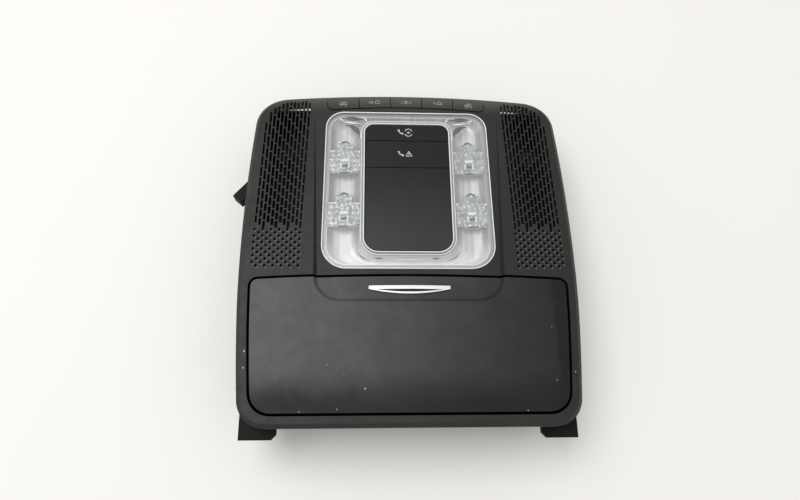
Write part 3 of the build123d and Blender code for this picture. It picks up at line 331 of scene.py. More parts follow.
def smooth_range(tree, value, low, high, out_low=0.0, out_high=1.0):
    """A value eased from one range to another and held at its ends."""
    node = tree.nodes.new("ShaderNodeMapRange")
    node.interpolation_type = "SMOOTHSTEP"
    for socket, number in zip(node.inputs, (value, low, high, out_low, out_high)):
        feed(tree, socket, number)
    return node.outputs[0]


def ramp_mm(tree, value, stretch, out_low=0.0):
    """A share that grows along a stretch between two places in millimetres."""
    return smooth_range(tree, value, stretch[0] * MM, stretch[1] * MM, out_low)


def band_mm(tree, value, stretch, end_stretch):
    """A soft-edged band that grows inwards along a stretch at each of its two ends."""
    return times(tree, ramp_mm(tree, value, stretch), ramp_mm(tree, value, end_stretch))


def noise(tree, scale, detail=2.0, rough=0.5, where=None):
    """Cloudy noise over the Object coordinates, or over where."""
    node = tree.nodes.new("ShaderNodeTexNoise")
    feed(tree, node.inputs["Vector"], place(tree) if where is None else where)
    node.inputs["Scale"].default_value = scale
    node.inputs["Detail"].default_value = detail
    node.inputs["Roughness"].default_value = rough
    return node.outputs["Fac"]


def streaks(tree, scales, detail, rough=0.5):
    """Noise scaled by different amounts along X, Y and Z."""
    node = tree.nodes.new("ShaderNodeMapping")
    node.inputs["Scale"].default_value = scales
    feed(tree, node.inputs["Vector"], place(tree))
    return noise(tree, 1.0, detail, rough, node.outputs[0])


def scaled(colour, factor):
    """A colour made darker or paler, up to white."""
    return tuple(min(1.0, c * factor) for c in colour)


def blend(tree, share, first, second):
    """A colour between two, by share."""
    node = tree.nodes.new("ShaderNodeMix")
    node.data_type = "RGBA"
    feed(tree, node.inputs["Factor"], share)
    for name, colour in (("A_Color", first), ("B_Color", second)):
        socket = next(s for s in node.inputs if s.identifier == name)
        feed(tree, socket, colour if isinstance(colour, bpy.types.NodeSocket) else (*colour, 1))
    return next(s for s in node.outputs if s.identifier == "Result_Color")


def two_tone(tree, bsdf, share, first, second):
    """Gives the shader a colour between two, by share, and returns that colour."""
    colour = blend(tree, share, first, second)
    feed(tree, bsdf.inputs["Base Color"], colour)
    return colour


def uneven_gloss(tree, bsdf, value, low, high):
    """Lets the shader's roughness waver from low to high with a noise."""
    feed(tree, bsdf.inputs["Roughness"], smooth_range(tree, value, NOISE_LOW, NOISE_HIGH, low, high))


def bump(tree, bsdf, height, distance, strength=1.0):
    """Feeds a height in as bump, after any bump that the shader already has."""
    node = tree.nodes.new("ShaderNodeBump")
    node.inputs["Strength"].default_value = strength
    node.inputs["Distance"].default_value = distance
    feed(tree, node.inputs["Height"], height)
    if bsdf.inputs["Normal"].is_linked:
        tree.links.new(bsdf.inputs["Normal"].links[0].from_socket, node.inputs["Normal"])
    tree.links.new(node.outputs["Normal"], bsdf.inputs["Normal"])


# Materials
def grain(tree, bsdf, colour, vary=0.16):
    """The satin grain of the dark mouldings: fine pebbling, slow colour drift and uneven gloss."""
    drift = smooth_range(tree, noise(tree, scale=26, detail=3.0), 0.3, 0.7)
    tinted = two_tone(tree, bsdf, drift, scaled(colour, 1 - vary), scaled(colour, 1 + vary))
    uneven_gloss(tree, bsdf, noise(tree, scale=140, detail=3.0), low=0.42, high=0.55)
    bump(tree, bsdf, noise(tree, scale=2600, detail=1.0), distance=0.04 * MM, strength=0.5)
    return tinted


def dimple_field(tree, shift_x, shift_y, radius):
    """Depth of the small round dimples behind the slots: on each wing a staggered grid of soft-edged dots,
    in line with the slot columns. The grid can be moved by a shift in millimetres, outwards and forwards,
    so that one copy gives each dot its painted shade and another, moved the other way, its painted highlight."""
    x, y = axes(tree)[:2]
    pitch = (GRILLE_OUTER_X - GRILLE_INNER_X) / (GRILLE_COLUMNS - 1) * MM
    row_pitch, first_y = DIMPLE_ROW_PITCH * MM, DIMPLE_FIRST_Y * MM
    from_inner = calc(tree, "SUBTRACT", calc(tree, "ABSOLUTE", x), GRILLE_INNER_X * MM)
    column = calc(tree, "DIVIDE", from_inner, pitch)
    near_column = calc(tree, "ROUND", column)
    stagger = times(tree, calc(tree, "FLOORED_MODULO", near_column, 2.0), 0.5)
    straight_row = calc(tree, "DIVIDE", calc(tree, "SUBTRACT", y, first_y), row_pitch)
    row = calc(tree, "ADD", straight_row, stagger)
    near_row = calc(tree, "ROUND", row)
    off_x = times(tree, calc(tree, "SUBTRACT", column, near_column), pitch)
    off_x = calc(tree, "SUBTRACT", off_x, times(tree, calc(tree, "SIGN", x), shift_x * MM))
    off_y = times(tree, calc(tree, "SUBTRACT", row, near_row), row_pitch * DIMPLE_SQUEEZE)
    off_y = calc(tree, "SUBTRACT", off_y, shift_y * MM)
    squares = calc(tree, "ADD", times(tree, off_x, off_x), times(tree, off_y, off_y))
    dot = ramp_mm(tree, calc(tree, "SQRT", squares), (radius, radius * DIMPLE_CORE))
    row_y = calc(tree, "MULTIPLY_ADD", calc(tree, "SUBTRACT", near_row, stagger), row_pitch, first_y)
    across = between(tree, column, -0.5, GRILLE_COLUMNS - 0.5)
    along = between(tree, row_y, DIMPLE_REAR_Y * MM, DIMPLE_FRONT_Y * MM)
    return times(tree, dot, across, along)


def bezel_plastic(colour, specular=0.32):
    """Dark grained plastic, paler towards its rolled front edge as a painted highlight, with blind dimples
    behind the slots, each painted black as shade with a painted highlight on one side.
    """
    material, tree, bsdf = shader("bezel_plastic", colour, roughness=0.48, specular=specular)
    pale, black = scaled(colour, 6), (0.001, 0.001, 0.001)
    # Painted highlight: paler towards the rolled front edge, where the roll faces the light
    front_edge = ramp_mm(tree, axes(tree)[1], PALE_FRONT_Y)
    tinted = blend(tree, front_edge, grain(tree, bsdf, colour), pale)
    # Painted highlight on one side of each dimple, and painted shade, nearly black and without gloss, in its
    # core
    lit = blend(tree, dimple_field(tree, shift_x=0.3, shift_y=-0.5, radius=0.75), tinted, pale)
    shaded = dimple_field(tree, shift_x=-0.12, shift_y=0.18, radius=0.8)
    two_tone(tree, bsdf, shaded, lit, black)
    dulled = calc(tree, "MULTIPLY_ADD", shaded, -specular, specular)
    feed(tree, bsdf.inputs["Specular IOR Level"], dulled)
    bump(tree, bsdf, calc(tree, "SUBTRACT", 1.0, shaded), distance=0.6 * MM)
    return material


def door_plastic(colour, sheen_and_wear_colour):
    """The same plastic on the bin door, with scratches, rubbed patches and a painted sheen that thins out
    to the right and the rear.
    """
    material, tree, bsdf = shader("door_plastic", colour, roughness=0.45, specular=0.2)
    tinted = grain(tree, bsdf, colour)
    x, y = axes(tree)[:2]
    # Painted sheen: lighter towards the front left of the door, where it catches the light, with a wavering
    # edge
    cloud = noise(tree, scale=34, detail=5.0, rough=0.6)
    waver = calc(tree, "MULTIPLY_ADD", cloud, SHEEN_WAVER * MM, -SHEEN_WAVER / 2 * MM)
    to_right = ramp_mm(tree, calc(tree, "ADD", x, waver), SHEEN_FADE_X)
    to_rear = ramp_mm(tree, calc(tree, "MULTIPLY_ADD", waver, 0.4, y), SHEEN_FADE_Y, out_low=0.06)
    right_edge = ramp_mm(tree, calc(tree, "MULTIPLY_ADD", waver, 0.35, x), SHEEN_EDGE_X)
    thinning, even = times(tree, to_right, to_rear, 0.85), times(tree, to_rear, 0.08)
    painted_sheen = times(tree, calc(tree, "ADD", thinning, even), right_edge)
    rubbing = noise(tree, scale=60, detail=6.0, rough=0.65)
    patches = smooth_range(tree, rubbing, 0.42, 0.74, out_low=0.84, out_high=1.06)
    lines = streaks(tree, (60, 900, 60), detail=3.0, rough=0.6)
    scratches = smooth_range(tree, lines, 0.68, 0.76, out_high=0.05)
    # Sheen and wear: the painted sheen broken up by rubbed patches, with scratches over it
    sheen_and_wear = calc(tree, "ADD", times(tree, painted_sheen, patches), scratches)
    two_tone(tree, bsdf, calc(tree, "MINIMUM", sheen_and_wear, 1.0), tinted, sheen_and_wear_colour)
    return material


def housing_plastic(colour):
    """Plain black moulding of the back, with a faint mottled tool finish."""
    material, tree, bsdf = shader("housing_plastic", colour, roughness=0.55, specular=0.15)
    two_tone(tree, bsdf, noise(tree, scale=120, detail=4.0), colour, scaled(colour, 1.7))
    bump(tree, bsdf, noise(tree, scale=900), distance=0.05 * MM)
    return material


def clear_plastic(alpha, grazing_alpha=0.55):
    """Polished clear plastic: mostly see-through, with gloss that grows at grazing angles."""
    material, tree, bsdf = shader("clear_plastic", (0.93, 0.94, 0.95), roughness=0.06)
    weight = tree.nodes.new("ShaderNodeLayerWeight")
    weight.inputs["Blend"].default_value = 0.35
    grazing = weight.outputs["Fresnel"]
    feed(tree, bsdf.inputs["Alpha"], smooth_range(tree, grazing, 0.0, 1.0, alpha, grazing_alpha))
    bump(tree, bsdf, noise(tree, scale=60, detail=1.0), distance=0.02 * MM)
    return material


def silver_coat(colour):
    """Vacuum-coated silver on the lamp pan, with drawn bands along it, painted shade by its walls and a
    painted reflection, paler, across its rear end."""
    material, tree, bsdf = shader("silver_coat", colour, roughness=0.4, metallic=0.35)
    drawn = streaks(tree, (520, 5, 5), detail=2.0)
    dull, shaded, pale = scaled(colour, 0.68), scaled(colour, 0.45), scaled(colour, 1.12)
    silver = blend(tree, smooth_range(tree, drawn, 0.3, 0.7), dull, colour)
    x, y = axes(tree)[:2]
    # Painted shade: darker along the pan's inner and outer walls
    across = calc(tree, "ABSOLUTE", x)
    inner_wall = band_mm(tree, across, INNER_WALL_X, INNER_WALL_END_X)
    outer_wall = band_mm(tree, across, OUTER_WALL_X, OUTER_WALL_END_X)
    along = band_mm(tree, y, WALL_Y, WALL_END_Y)
    walls = times(tree, calc(tree, "MAXIMUM", inner_wall, outer_wall), along, 0.75)
    silver = blend(tree, walls, silver, shaded)
    # Painted reflection: paler across the pan's rear end
    two_tone(tree, bsdf, ramp_mm(tree, y, PALE_REAR_Y), silver, pale)
    uneven_gloss(tree, bsdf, noise(tree, scale=40), low=0.36, high=0.48)
    bump(tree, bsdf, drawn, distance=0.1 * MM, strength=0.3)
    return material


def cut_crystal(colour):
    """Cut facets: a glossy surface whose tint steps from facet to facet, as painted highlights and painted
    shade.
    """
    material, tree, bsdf = shader("cut_crystal", colour, roughness=0.2, metallic=0.3)
    cells = tree.nodes.new("ShaderNodeTexVoronoi")
    cells.inputs["Scale"].default_value = 330
    feed(tree, cells.inputs["Vector"], place(tree))
    split = tree.nodes.new("ShaderNodeSeparateColor")
    feed(tree, split.inputs[0], cells.outputs["Color"])
    # Painted highlights and shade: lighter and darker cells for facets that catch the light and facets that
    # don't
    step = smooth_range(tree, split.outputs[0], 0.0, 0.75)
    two_tone(tree, bsdf, step, scaled(colour, 0.62), colour)
    return material


def panel_plastic(colour, low_colour, cloud_share=0.25):
    """Satin panel plastic, slightly lighter and bluer towards the bin."""
    material, tree, bsdf = shader("panel_plastic", colour, roughness=0.36, specular=0.25)
    to_bin = ramp_mm(tree, axes(tree)[1], PANEL_SHADE_Y)
    cloud = noise(tree, scale=45, detail=3.0)
    drift = calc(tree, "MULTIPLY_ADD", cloud, cloud_share, calc(tree, "SUBTRACT", to_bin, cloud_share / 2))
    two_tone(tree, bsdf, drift, colour, low_colour)
    uneven_gloss(tree, bsdf, noise(tree, scale=300, detail=3.0), low=0.32, high=0.42)
    bump(tree, bsdf, noise(tree, scale=3000, detail=1.0), distance=0.02 * MM, strength=0.4)
    return material


def bright_trim(colour):
    """Bright plating with faint polishing lines along the bar, and painted shade, dark, down its side walls.
    """
    material, tree, bsdf = shader("bright_trim", colour, roughness=0.16, metallic=0.55)
    # Painted shade: dark below the top of the bar, down its side walls in the slot
    to_top = ramp_mm(tree, axes(tree)[2], HANDLE_SHINE_Z)
    two_tone(tree, bsdf, to_top, scaled(colour, 0.08), colour)
    lines = streaks(tree, (40, 1800, 1800), detail=2.0)
    uneven_gloss(tree, bsdf, lines, low=0.12, high=0.24)
    bump(tree, bsdf, lines, distance=0.01 * MM, strength=0.5)
    return material


def lens_edge_highlight(colour):
    """Painted highlights on the lens's moulded edges: bright lines for the light they catch."""
    material, tree, bsdf = shader("lens_edge_highlight", colour, roughness=0.2)
    two_tone(tree, bsdf, noise(tree, scale=90), scaled(colour, 0.8), colour)
    return material


def print_ink(name, colour):
    """Pad-printed symbols, slightly worn through."""
    material, tree, bsdf = shader(name, colour, roughness=0.5)
    whole = smooth_range(tree, noise(tree, scale=900), 0.35, 0.6)
    two_tone(tree, bsdf, whole, scaled(colour, 0.55), colour)
    return material


def board_laminate(colour):
    """Lacquered circuit board with thin tracks under the lacquer."""
    material, tree, bsdf = shader("board_laminate", colour, roughness=0.35)
    tracks = smooth_range(tree, streaks(tree, (90, 700, 90), detail=1.0), 0.52, 0.56)
    two_tone(tree, bsdf, tracks, colour, scaled(colour, 1.8))
    return material


def plain_finish(name, colour, roughness, metallic=0.0, scale=300, vary=0.25, depth=0.03 * MM):
    """A simple moulded, drawn or lacquered finish: mottled colour and a shallow texture."""
    material, tree, bsdf = shader(name, colour, roughness, metallic)
    mottle = noise(tree, scale, detail=3.0)
    two_tone(tree, bsdf, mottle, scaled(colour, 1 - vary), colour)
    bump(tree, bsdf, mottle, depth, strength=0.5)
    return material


def paint(names, material):
    """Gives each of these nodes one material."""
    for name in names:
        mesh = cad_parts[name].data
        mesh.materials.clear()
        mesh.materials.append(material)


# Shapes of the lamp pan
def pan_trough(steps=17):
    """A trough round the panel. From the outer shoulder it falls to its floor and rises again to the inner
    one: at share t across, its depth below the channel goes as 1 - (2t - 1) to the fourth power."""
    outer, inner = rounded_loop(LENS_LOOP, -SHOULDER_FAR), rounded_loop(PANEL_LOOP, SHOULDER_FAR)
    share = np.linspace(0, 1, steps)[None, :, None]
    plan = outer[:, None, :] * (1 - share) + inner[:, None, :] * share
    fall = 1 - (2 * share.ravel() - 1) ** 4
    z = channel_height(plan[..., 1]) - SHOULDER_DEPTH - (TROUGH_DEPTH - SHOULDER_DEPTH) * fall
    points = np.concatenate([plan, z[..., None]], axis=-1)
    return points.reshape(-1, 3), grid_faces(len(plan), steps, True)


def pan_shoulders():
    """The flat shoulders beside the trough, just under the lens: each a band between two rounded loops."""
    bands = []
    edges = ((LENS_LOOP, -SHOULDER_NEAR, -SHOULDER_FAR), (PANEL_LOOP, SHOULDER_FAR, SHOULDER_NEAR))
    for loop, outer, inner in edges:
        plan = np.stack([rounded_loop(loop, outer), rounded_loop(loop, inner)], axis=1)
        z = channel_height(plan[..., 1]) - SHOULDER_DEPTH
        points = np.concatenate([plan, z[..., None]], axis=-1)
        bands.append((points.reshape(-1, 3), grid_faces(len(plan), 2, True)))
    return bands


def swelling(path, width, end_share=0.1):
    """A ribbon over the pan: its width grows from thin ends to the middle, as a sine squared."""
    swell = end_share + (1 - end_share) * np.sin(np.linspace(0, np.pi, len(path))) ** 2
    return ribbon(path, width * swell, reflection_foot, REFLECTION_LIFT)


def reflection_streak(start, end, width):
    """A straight painted reflection between two places on the pan."""
    return swelling(line_path(start, end, count=12), width)


def dark_pan_reflections():
    """Dark painted reflections in the pan: two short dashes, and at each side a smear and an arc at the front
    corner and an arc at the rear one."""
    reflections = [reflection_streak((k * 15.5, 53.3), (k * 22.5, 53.9), 0.8) for k in (-1, 0.9)]
    for side in (-1, 1):
        smear = reflection_streak((side * 44.5, 156.2), (side * 28.5, 155.0), 3.0)
        front_arc = swelling(arc_path(side * 41.5, 140.5, 9.6, 90, 90 + side * 88), 3.4)
        rear_arc = swelling(arc_path(side * 24.0, 61.5, 9.0, -90, -90 + side * 75), 0.5)
        reflections += [smear, front_arc, rear_arc]
    return reflections


def bright_pan_reflections():
    """Bright painted reflections in the pan beside the dark ones."""
    reflections = [reflection_streak((-12.0, 52.6), (12.5, 52.8), 0.8)]
    for side in (-1, 1):
        inner_corner = reflection_streak((side * 29.5, 157.6), (side * 26.5, 153.0), 1.3)
        inner_wall = reflection_streak((side * 30.9, 148.5), (side * 31.3, 138.0), 1.1)
        outer_corner = reflection_streak((side * 46.5, 156.3), (side * 42.5, 153.6), 1.2)
        front_streak = reflection_streak((side * 43.5, 153.2), (side * 30.5, 151.6), 1.6)
        rear_arc = swelling(arc_path(side * 24.5, 64.0, 14.5, -90 + side * 8, -90 + side * 80), 1.2)
        reflections += [inner_corner, inner_wall, outer_corner, front_streak, rear_arc]
    return reflections


# Shapes of the optics
def facet_field(x, y, size, count, depth, per_facet=4, margin=0.2, lift=0.03):
    """A field of uneven cut facets: two triangle waves that cross at a slant, the lower of them counting,
    with the crests shifted by a slow sine so that no two facets are alike."""
    rows_share = size[1] / size[0]
    columns, rows = per_facet * count + 1, per_facet * max(2, round(count * rows_share)) + 1
    u, v = np.meshgrid(np.linspace(0, 1, columns), np.linspace(0, 1, rows), indexing="ij")
    slant_u = u * count + 0.55 * np.sin(5.1 * v + 2.0 * u)
    slant_v = v * count * rows_share + 0.5 * np.sin(4.3 * u + 1.0)
    wave_u = 1 - np.abs(2 * (slant_u % 1) - 1)
    wave_v = 1 - np.abs(2 * (slant_v % 1) - 1)
    px = x + (u - 0.5) * (size[0] - 2 * margin)
    py = y + (v - 0.5) * (size[1] - 2 * margin)
    pz = optic_top(py) + lift + depth * (0.1 + 0.9 * np.minimum(wave_u, wave_v))
    points = np.stack([px, py, pz], axis=-1)
    return points.reshape(-1, 3), grid_faces(columns, rows)


def bead(x, y, radius_x, radius_y, height, carrier, wobble, seed, rings=5, spokes=14, sink=0.02):
    """A low dome: at share r from its middle it stands height times the root of 1 - r squared above its
    carrier, and its edge wavers with three and five lobes. Its outer ring lies just under the carrier."""
    shares, turns = np.linspace(1, 0.001, rings), np.linspace(0, 2 * np.pi, spokes, endpoint=False)
    share, turn = np.meshgrid(shares, turns, indexing="ij")
    edge = 1 + wobble * (np.sin(3 * turn + seed) + 0.6 * np.sin(5 * turn + 2.1 * seed))
    px = x + share * edge * radius_x * np.cos(turn)
    py = y + share * edge * radius_y * np.sin(turn)
    pz = carrier(py) + height * np.sqrt(1 - share**2) - sink
    points = np.stack([px, py, pz], axis=-1)
    return points.transpose(1, 0, 2).reshape(-1, 3), grid_faces(spokes, rings, True)[:, ::-1]


def tapered(path, swell, least=0.1):
    """Widths along a path that grow from least at both ends by a sine, up to swell more in the middle."""
    return least + swell * np.sin(np.linspace(0, np.pi, len(path)))


def optic_shadows(x, y, brow_y):
    """Dark places in one optic: a crescent on its brow, a line at its foot, the eye and the lower corners."""
    brow_arc = arc_path(x, brow_y - 0.4, 3.4, 35, 145)
    foot_line = line_path((x - 3.4, y - 8.6), (x + 3.2, y - 8.4), count=12)
    shadows = [
        ribbon(brow_arc, tapered(brow_arc, 0.75), optic_top, lift=0.95),
        ribbon(foot_line, tapered(foot_line, 0.55), optic_top, lift=0.93),
    ]
    for dx, dy in ((-0.7, 0.0), (0.9, 0.3)):
        shadows.append(bead(x + dx, y - 3.4 + dy, 0.95, 0.7, 0.2, optic_crest, wobble=0.12, seed=dx))
    for dx in (-9.6, 9.4):
        shadows.append(bead(x + dx, y - 7.2, 0.5, 0.6, 0.15, optic_crest, wobble=0.2, seed=dx))
    return shadows


def optic_glints(x, y, brow_y, side):
    """Bright places in one optic: bars beside the crescent, a block round the eye and sparks at the edges."""
    glints = []
    for k in (-1, 1):
        brow_bar = line_path((x + k * 2.9, brow_y + 2.3), (x + k * 4.9, brow_y + 2.0))
        glints.append(ribbon(brow_bar, 0.6, optic_top, lift=0.94))
    for k in (-2.3, 2.6):
        eye_bar = line_path((x + k, y - 5.4), (x + k * 1.15, y - 1.2))
        glints.append(ribbon(eye_bar, 0.9, optic_top, lift=0.92))
    eye_block = line_path((x - 2.6, y + 0.6), (x + 2.9, y + 1.0), count=12)
    glints.append(ribbon(eye_block, 2.0, optic_top, lift=0.91))
    sparks = []
    for k in np.linspace(-1, 1, 9):
        sparks.append((x + 9.3 * k, y - 7.4 + 0.5 * np.sin(9 * k + side), 0.28 + 0.22 * np.cos(7 * k + y)))
    sparks += [(x + 9.4, y + 7.2, 0.6), (x - 9.5, y + 7.4, 0.5)]
    sparks += [(x + side * 8.6, y - 4.0, 0.6), (x - side * 8.9, y - 0.8, 0.35)]
    for px, py, size in sparks:
        glints.append(bead(px, py, size + 0.1, size + 0.14, 0.2, optic_crest, wobble=0.25, seed=px))
    return glints


# Shapes of the prints
def lamp_symbol():
    """A lamp shade with a ring in it and two rays below."""
    shade = line_path((-2.2, -0.9), (-1.2, 1.2), (1.2, 1.2), (2.2, -0.9), (-2.2, -0.9))
    rays = [line_path((side * 1.0, -1.5), (side * 1.5, -2.2)) for side in (-1, 1)]
    return [shade, arc_path(0, 0.1, 0.55, 0, 360, 17)] + rays


def door_symbol():
    """A lamp dome with a door leaf standing open beside it."""
    dome = arc_path(-2.1, -0.4, 1.2, 0, 180)
    base = line_path((-3.5, -0.4), (-0.7, -0.4))
    leaf = line_path((0.4, -0.9), (0.4, 1.1), (2.2, 1.5), (2.2, -0.6), (0.4, -0.9))
    return [dome, base, leaf, line_path((2.8, -0.5), (3.5, 0.3))]


def all_lamps_symbol():
    """A small ring with rays all round and a bar at each side."""
    ways = [np.array([np.cos(turn), np.sin(turn)]) for turn in np.radians(np.arange(0, 360, 60) + 30)]
    rays = [line_path(1.0 * way, 1.7 * way) for way in ways]
    bars = [line_path((side * 2.5, -0.9), (side * 2.5, 0.9)) for side in (-1, 1)]
    return [arc_path(0, 0, 0.6, 0, 360, 17)] + rays + bars


def room_symbol():
    """A lamp dome on its base with two rays to one side."""
    dome = arc_path(1.2, -0.3, 1.3, -20, 200)
    base = line_path((-0.3, -0.7), (2.7, -0.7))
    rays = [line_path((-1.0, 0.2 + k), (-2.3, 0.6 + 1.4 * k)) for k in (-0.4, 0.5)]
    return [dome, base] + rays


def ring_symbol():
    """A ring of two arcs round a dot."""
    arcs = [arc_path(1.2, 0.3, 2.5, 20, 160), arc_path(1.2, -0.3, 2.5, 200, 340)]
    return arcs + [arc_path(1.2, 0, 0.6, 0, 360)]


def warning_symbol():
    """A triangle with an upright bar in it."""
    outline = line_path((-0.9, -1.5), (3.3, -1.5), (1.2, 2.1), (-0.9, -1.5))
    return [outline, line_path((1.2, -0.6), (1.2, 0.9))]


def handset(x, y, size=2.5, count=21):
    """A telephone handset: a quarter arc that swells towards both ends, as its path and width."""
    path = arc_path(x + size * 0.85, y + size * 0.85, size * 1.2, 178, 272, count)
    share = np.linspace(-1, 1, count)
    return path, size * (0.3 + 0.34 * np.clip(np.abs(share) * 2.4 - 1.2, 0, 1))


# Table, light and camera
def table_sheet(half=2.0):
    """A flat square table top under the part, as a two by two grid of points."""
    x, y = np.meshgrid([-half, half], [-half, half], indexing="ij")
    points = np.column_stack([x.ravel(), y.ravel(), np.zeros(4)])
    return points, grid_faces(2, 2)


def even_light(strength, tint=(1.0, 0.995, 0.985)):
    """A world of even, slightly warm light."""
    world = bpy.data.worlds.new("studio")
    world.use_nodes = True
    background = world.node_tree.nodes["Background"]
    background.inputs["Color"].default_value = (*tint, 1)
    background.inputs["Strength"].default_value = strength
    return world


def add_key_lamp(power, size=1.4, spot=(-0.8, 0.55, 2.2), tilt=(-13, -20, 0)):
    """A large soft lamp high up on the left, tilted towards the part by turns in degrees."""
    lamp = bpy.data.lights.new("key_lamp", "AREA")
    lamp.size = size
    lamp.energy = power
    key = new_object("key_lamp", lamp)
    key.location = spot
    key.rotation_euler = [radians(turn) for turn in tilt]


def add_camera(stage, nearest=0.01):
    """The camera: out from its target, raised and turned round it, and then rolled about its view."""
    data = bpy.data.cameras.new("camera")
    data.lens = stage.lens
    data.clip_start = nearest
    turn = Matrix.Rotation(stage.azimuth, 4, "Z") @ Matrix.Rotation(radians(90) - stage.elevation, 4, "X")
    away = turn @ Vector((0, 0, stage.distance))
    roll = Matrix.Rotation(stage.roll, 4, "Z")
    camera = new_object("camera", data)
    camera.matrix_world = Matrix.Translation(Vector(stage.target) + away) @ turn @ roll
    return camera


# Properties
class ConsoleFinish(bpy.types.PropertyGroup):
    """Colours of the console's plastics and coatings."""

    casing: bpy.props.FloatVectorProperty(
        name="Casing", description="Grained bezel and buttons",
        subtype="COLOR", default=(0.0150, 0.0149, 0.0137),
    )
    door: bpy.props.FloatVectorProperty(
        name="Door", description="Grained bin door",
        subtype="COLOR", default=(0.0095, 0.0095, 0.0098),
    )
    # Colour of the door's painted sheen, its rubbed patches and its scratches
    sheen_and_wear: bpy.props.FloatVectorProperty(
        name="Haze", description="Dust and rubbed patches on the door",
        subtype="COLOR", default=(0.105, 0.106, 0.108),
    )
    back: bpy.props.FloatVectorProperty(
        name="Back", description="Black rear housing",
        subtype="COLOR", default=(0.0045, 0.0043, 0.004),
    )
    panel: bpy.props.FloatVectorProperty(
        name="Panel", description="Keys and front of the window",
        subtype="COLOR", default=(0.0085, 0.0086, 0.0080),
    )
    panel_low: bpy.props.FloatVectorProperty(
        name="Panel near bin", description="Lower end of the window",
        subtype="COLOR", default=(0.030, 0.031, 0.035),
    )
    silver: bpy.props.FloatVectorProperty(
        name="Silver", description="Coated lamp pan",
        subtype="COLOR", default=(0.76, 0.77, 0.77),
    )
    trim: bpy.props.FloatVectorProperty(
        name="Trim", description="Plated pull handle",
        subtype="COLOR", default=(0.95, 0.95, 0.96),
    )
    ink: bpy.props.FloatVectorProperty(
        name="Ink", description="Printed symbols on the keys",
        subtype="COLOR", default=(0.75, 0.75, 0.74),
    )
    faint_ink: bpy.props.FloatVectorProperty(
        name="Faint ink", description="Printed symbols on the buttons",
        subtype="COLOR", default=(0.42, 0.42, 0.40),
    )
    clear_alpha: bpy.props.FloatProperty(
        name="Lens density", description="How much the clear lens hides",
        subtype="FACTOR", min=0, max=1, default=0.10,
    )


class ConsoleDetail(bpy.types.PropertyGroup):
    """Sizes of the added details."""

    print_width: bpy.props.FloatProperty(
        name="Print width", description="Line width of the button symbols in millimetres",
        min=0.1, default=0.42,
    )
    key_print_width: bpy.props.FloatProperty(
        name="Key print width", description="Line width of the key symbols in millimetres",
        min=0.1, default=0.5,
    )
    print_lift: bpy.props.FloatProperty(
        name="Print lift", description="How far prints stand off their surface in millimetres",
        min=0.005, default=0.02,
    )
    # Width of the painted highlight along the lens's edge
    rim_width: bpy.props.FloatProperty(
        name="Rim width", description="Width of the lens's bright edge in millimetres",
        min=0.2, default=0.65,
    )
    facet_depth: bpy.props.FloatProperty(
        name="Facet depth", description="Height of the optics' cut facets in millimetres",
        min=0.1, max=0.8, default=0.45,
    )
    facets: bpy.props.IntProperty(
        name="Facets", description="Facets across one optic",
        min=2, default=6,
    )


class ConsoleStage(bpy.types.PropertyGroup):
    """Floor, light and camera."""

    floor: bpy.props.FloatVectorProperty(
        name="Floor", description="Pale table",
        subtype="COLOR", default=(0.90, 0.885, 0.855),
    )
    world: bpy.props.FloatProperty(
        name="World", description="Strength of the even light",
        min=0, default=0.66,
    )
    key: bpy.props.FloatProperty(
        name="Key", description="Power of the soft key lamp in watts",
        subtype="POWER", default=28,
    )
    lens: bpy.props.FloatProperty(
        name="Lens", description="Camera lens in millimetres",
        min=10, default=27,
    )
    target: bpy.props.FloatVectorProperty(
        name="Target", description="What the camera looks at",
        subtype="TRANSLATION", default=(-0.0058, 0.0573, 0.059),
    )
    distance: bpy.props.FloatProperty(
        name="Distance", description="From the target to the camera",
        unit="LENGTH", default=0.3719,
    )
    azimuth: bpy.props.FloatProperty(
        name="Azimuth", description="Turn of the camera round the part",
        subtype="ANGLE", default=radians(-8.78),
    )
    elevation: bpy.props.FloatProperty(
        name="Elevation", description="Height angle of the camera",
        subtype="ANGLE", default=radians(72.05),
    )
    roll: bpy.props.FloatProperty(
        name="Roll", description="Turn of the camera about its view",
        subtype="ANGLE", default=radians(8.644),
    )


# Operators
class CONSOLE_OT_dress_casing(bpy.types.Operator):
    """Paint the visible pieces: bezel, buttons, door, panel, back, trim, lens and pan"""

    bl_idname = "console.dress_casing"
    bl_label = "Dress Casing"

    def execute(self, context):
        finish = context.scene.console_finish
        paint(["bezel"] + BUTTONS, bezel_plastic(finish.casing))
        paint(["door_panel"], door_plastic(finish.door, finish.sheen_and_wear))
        paint(["indicator_window"] + KEYS, panel_plastic(finish.panel, finish.panel_low))
        paint(BLACK_MOULDINGS, housing_plastic(finish.back))
        paint(["handle_trim"], bright_trim(finish.trim))
        paint(["lamp_lens"], clear_plastic(finish.clear_alpha))
        paint(["reflector"], silver_coat(finish.silver))
        return {"FINISHED"}


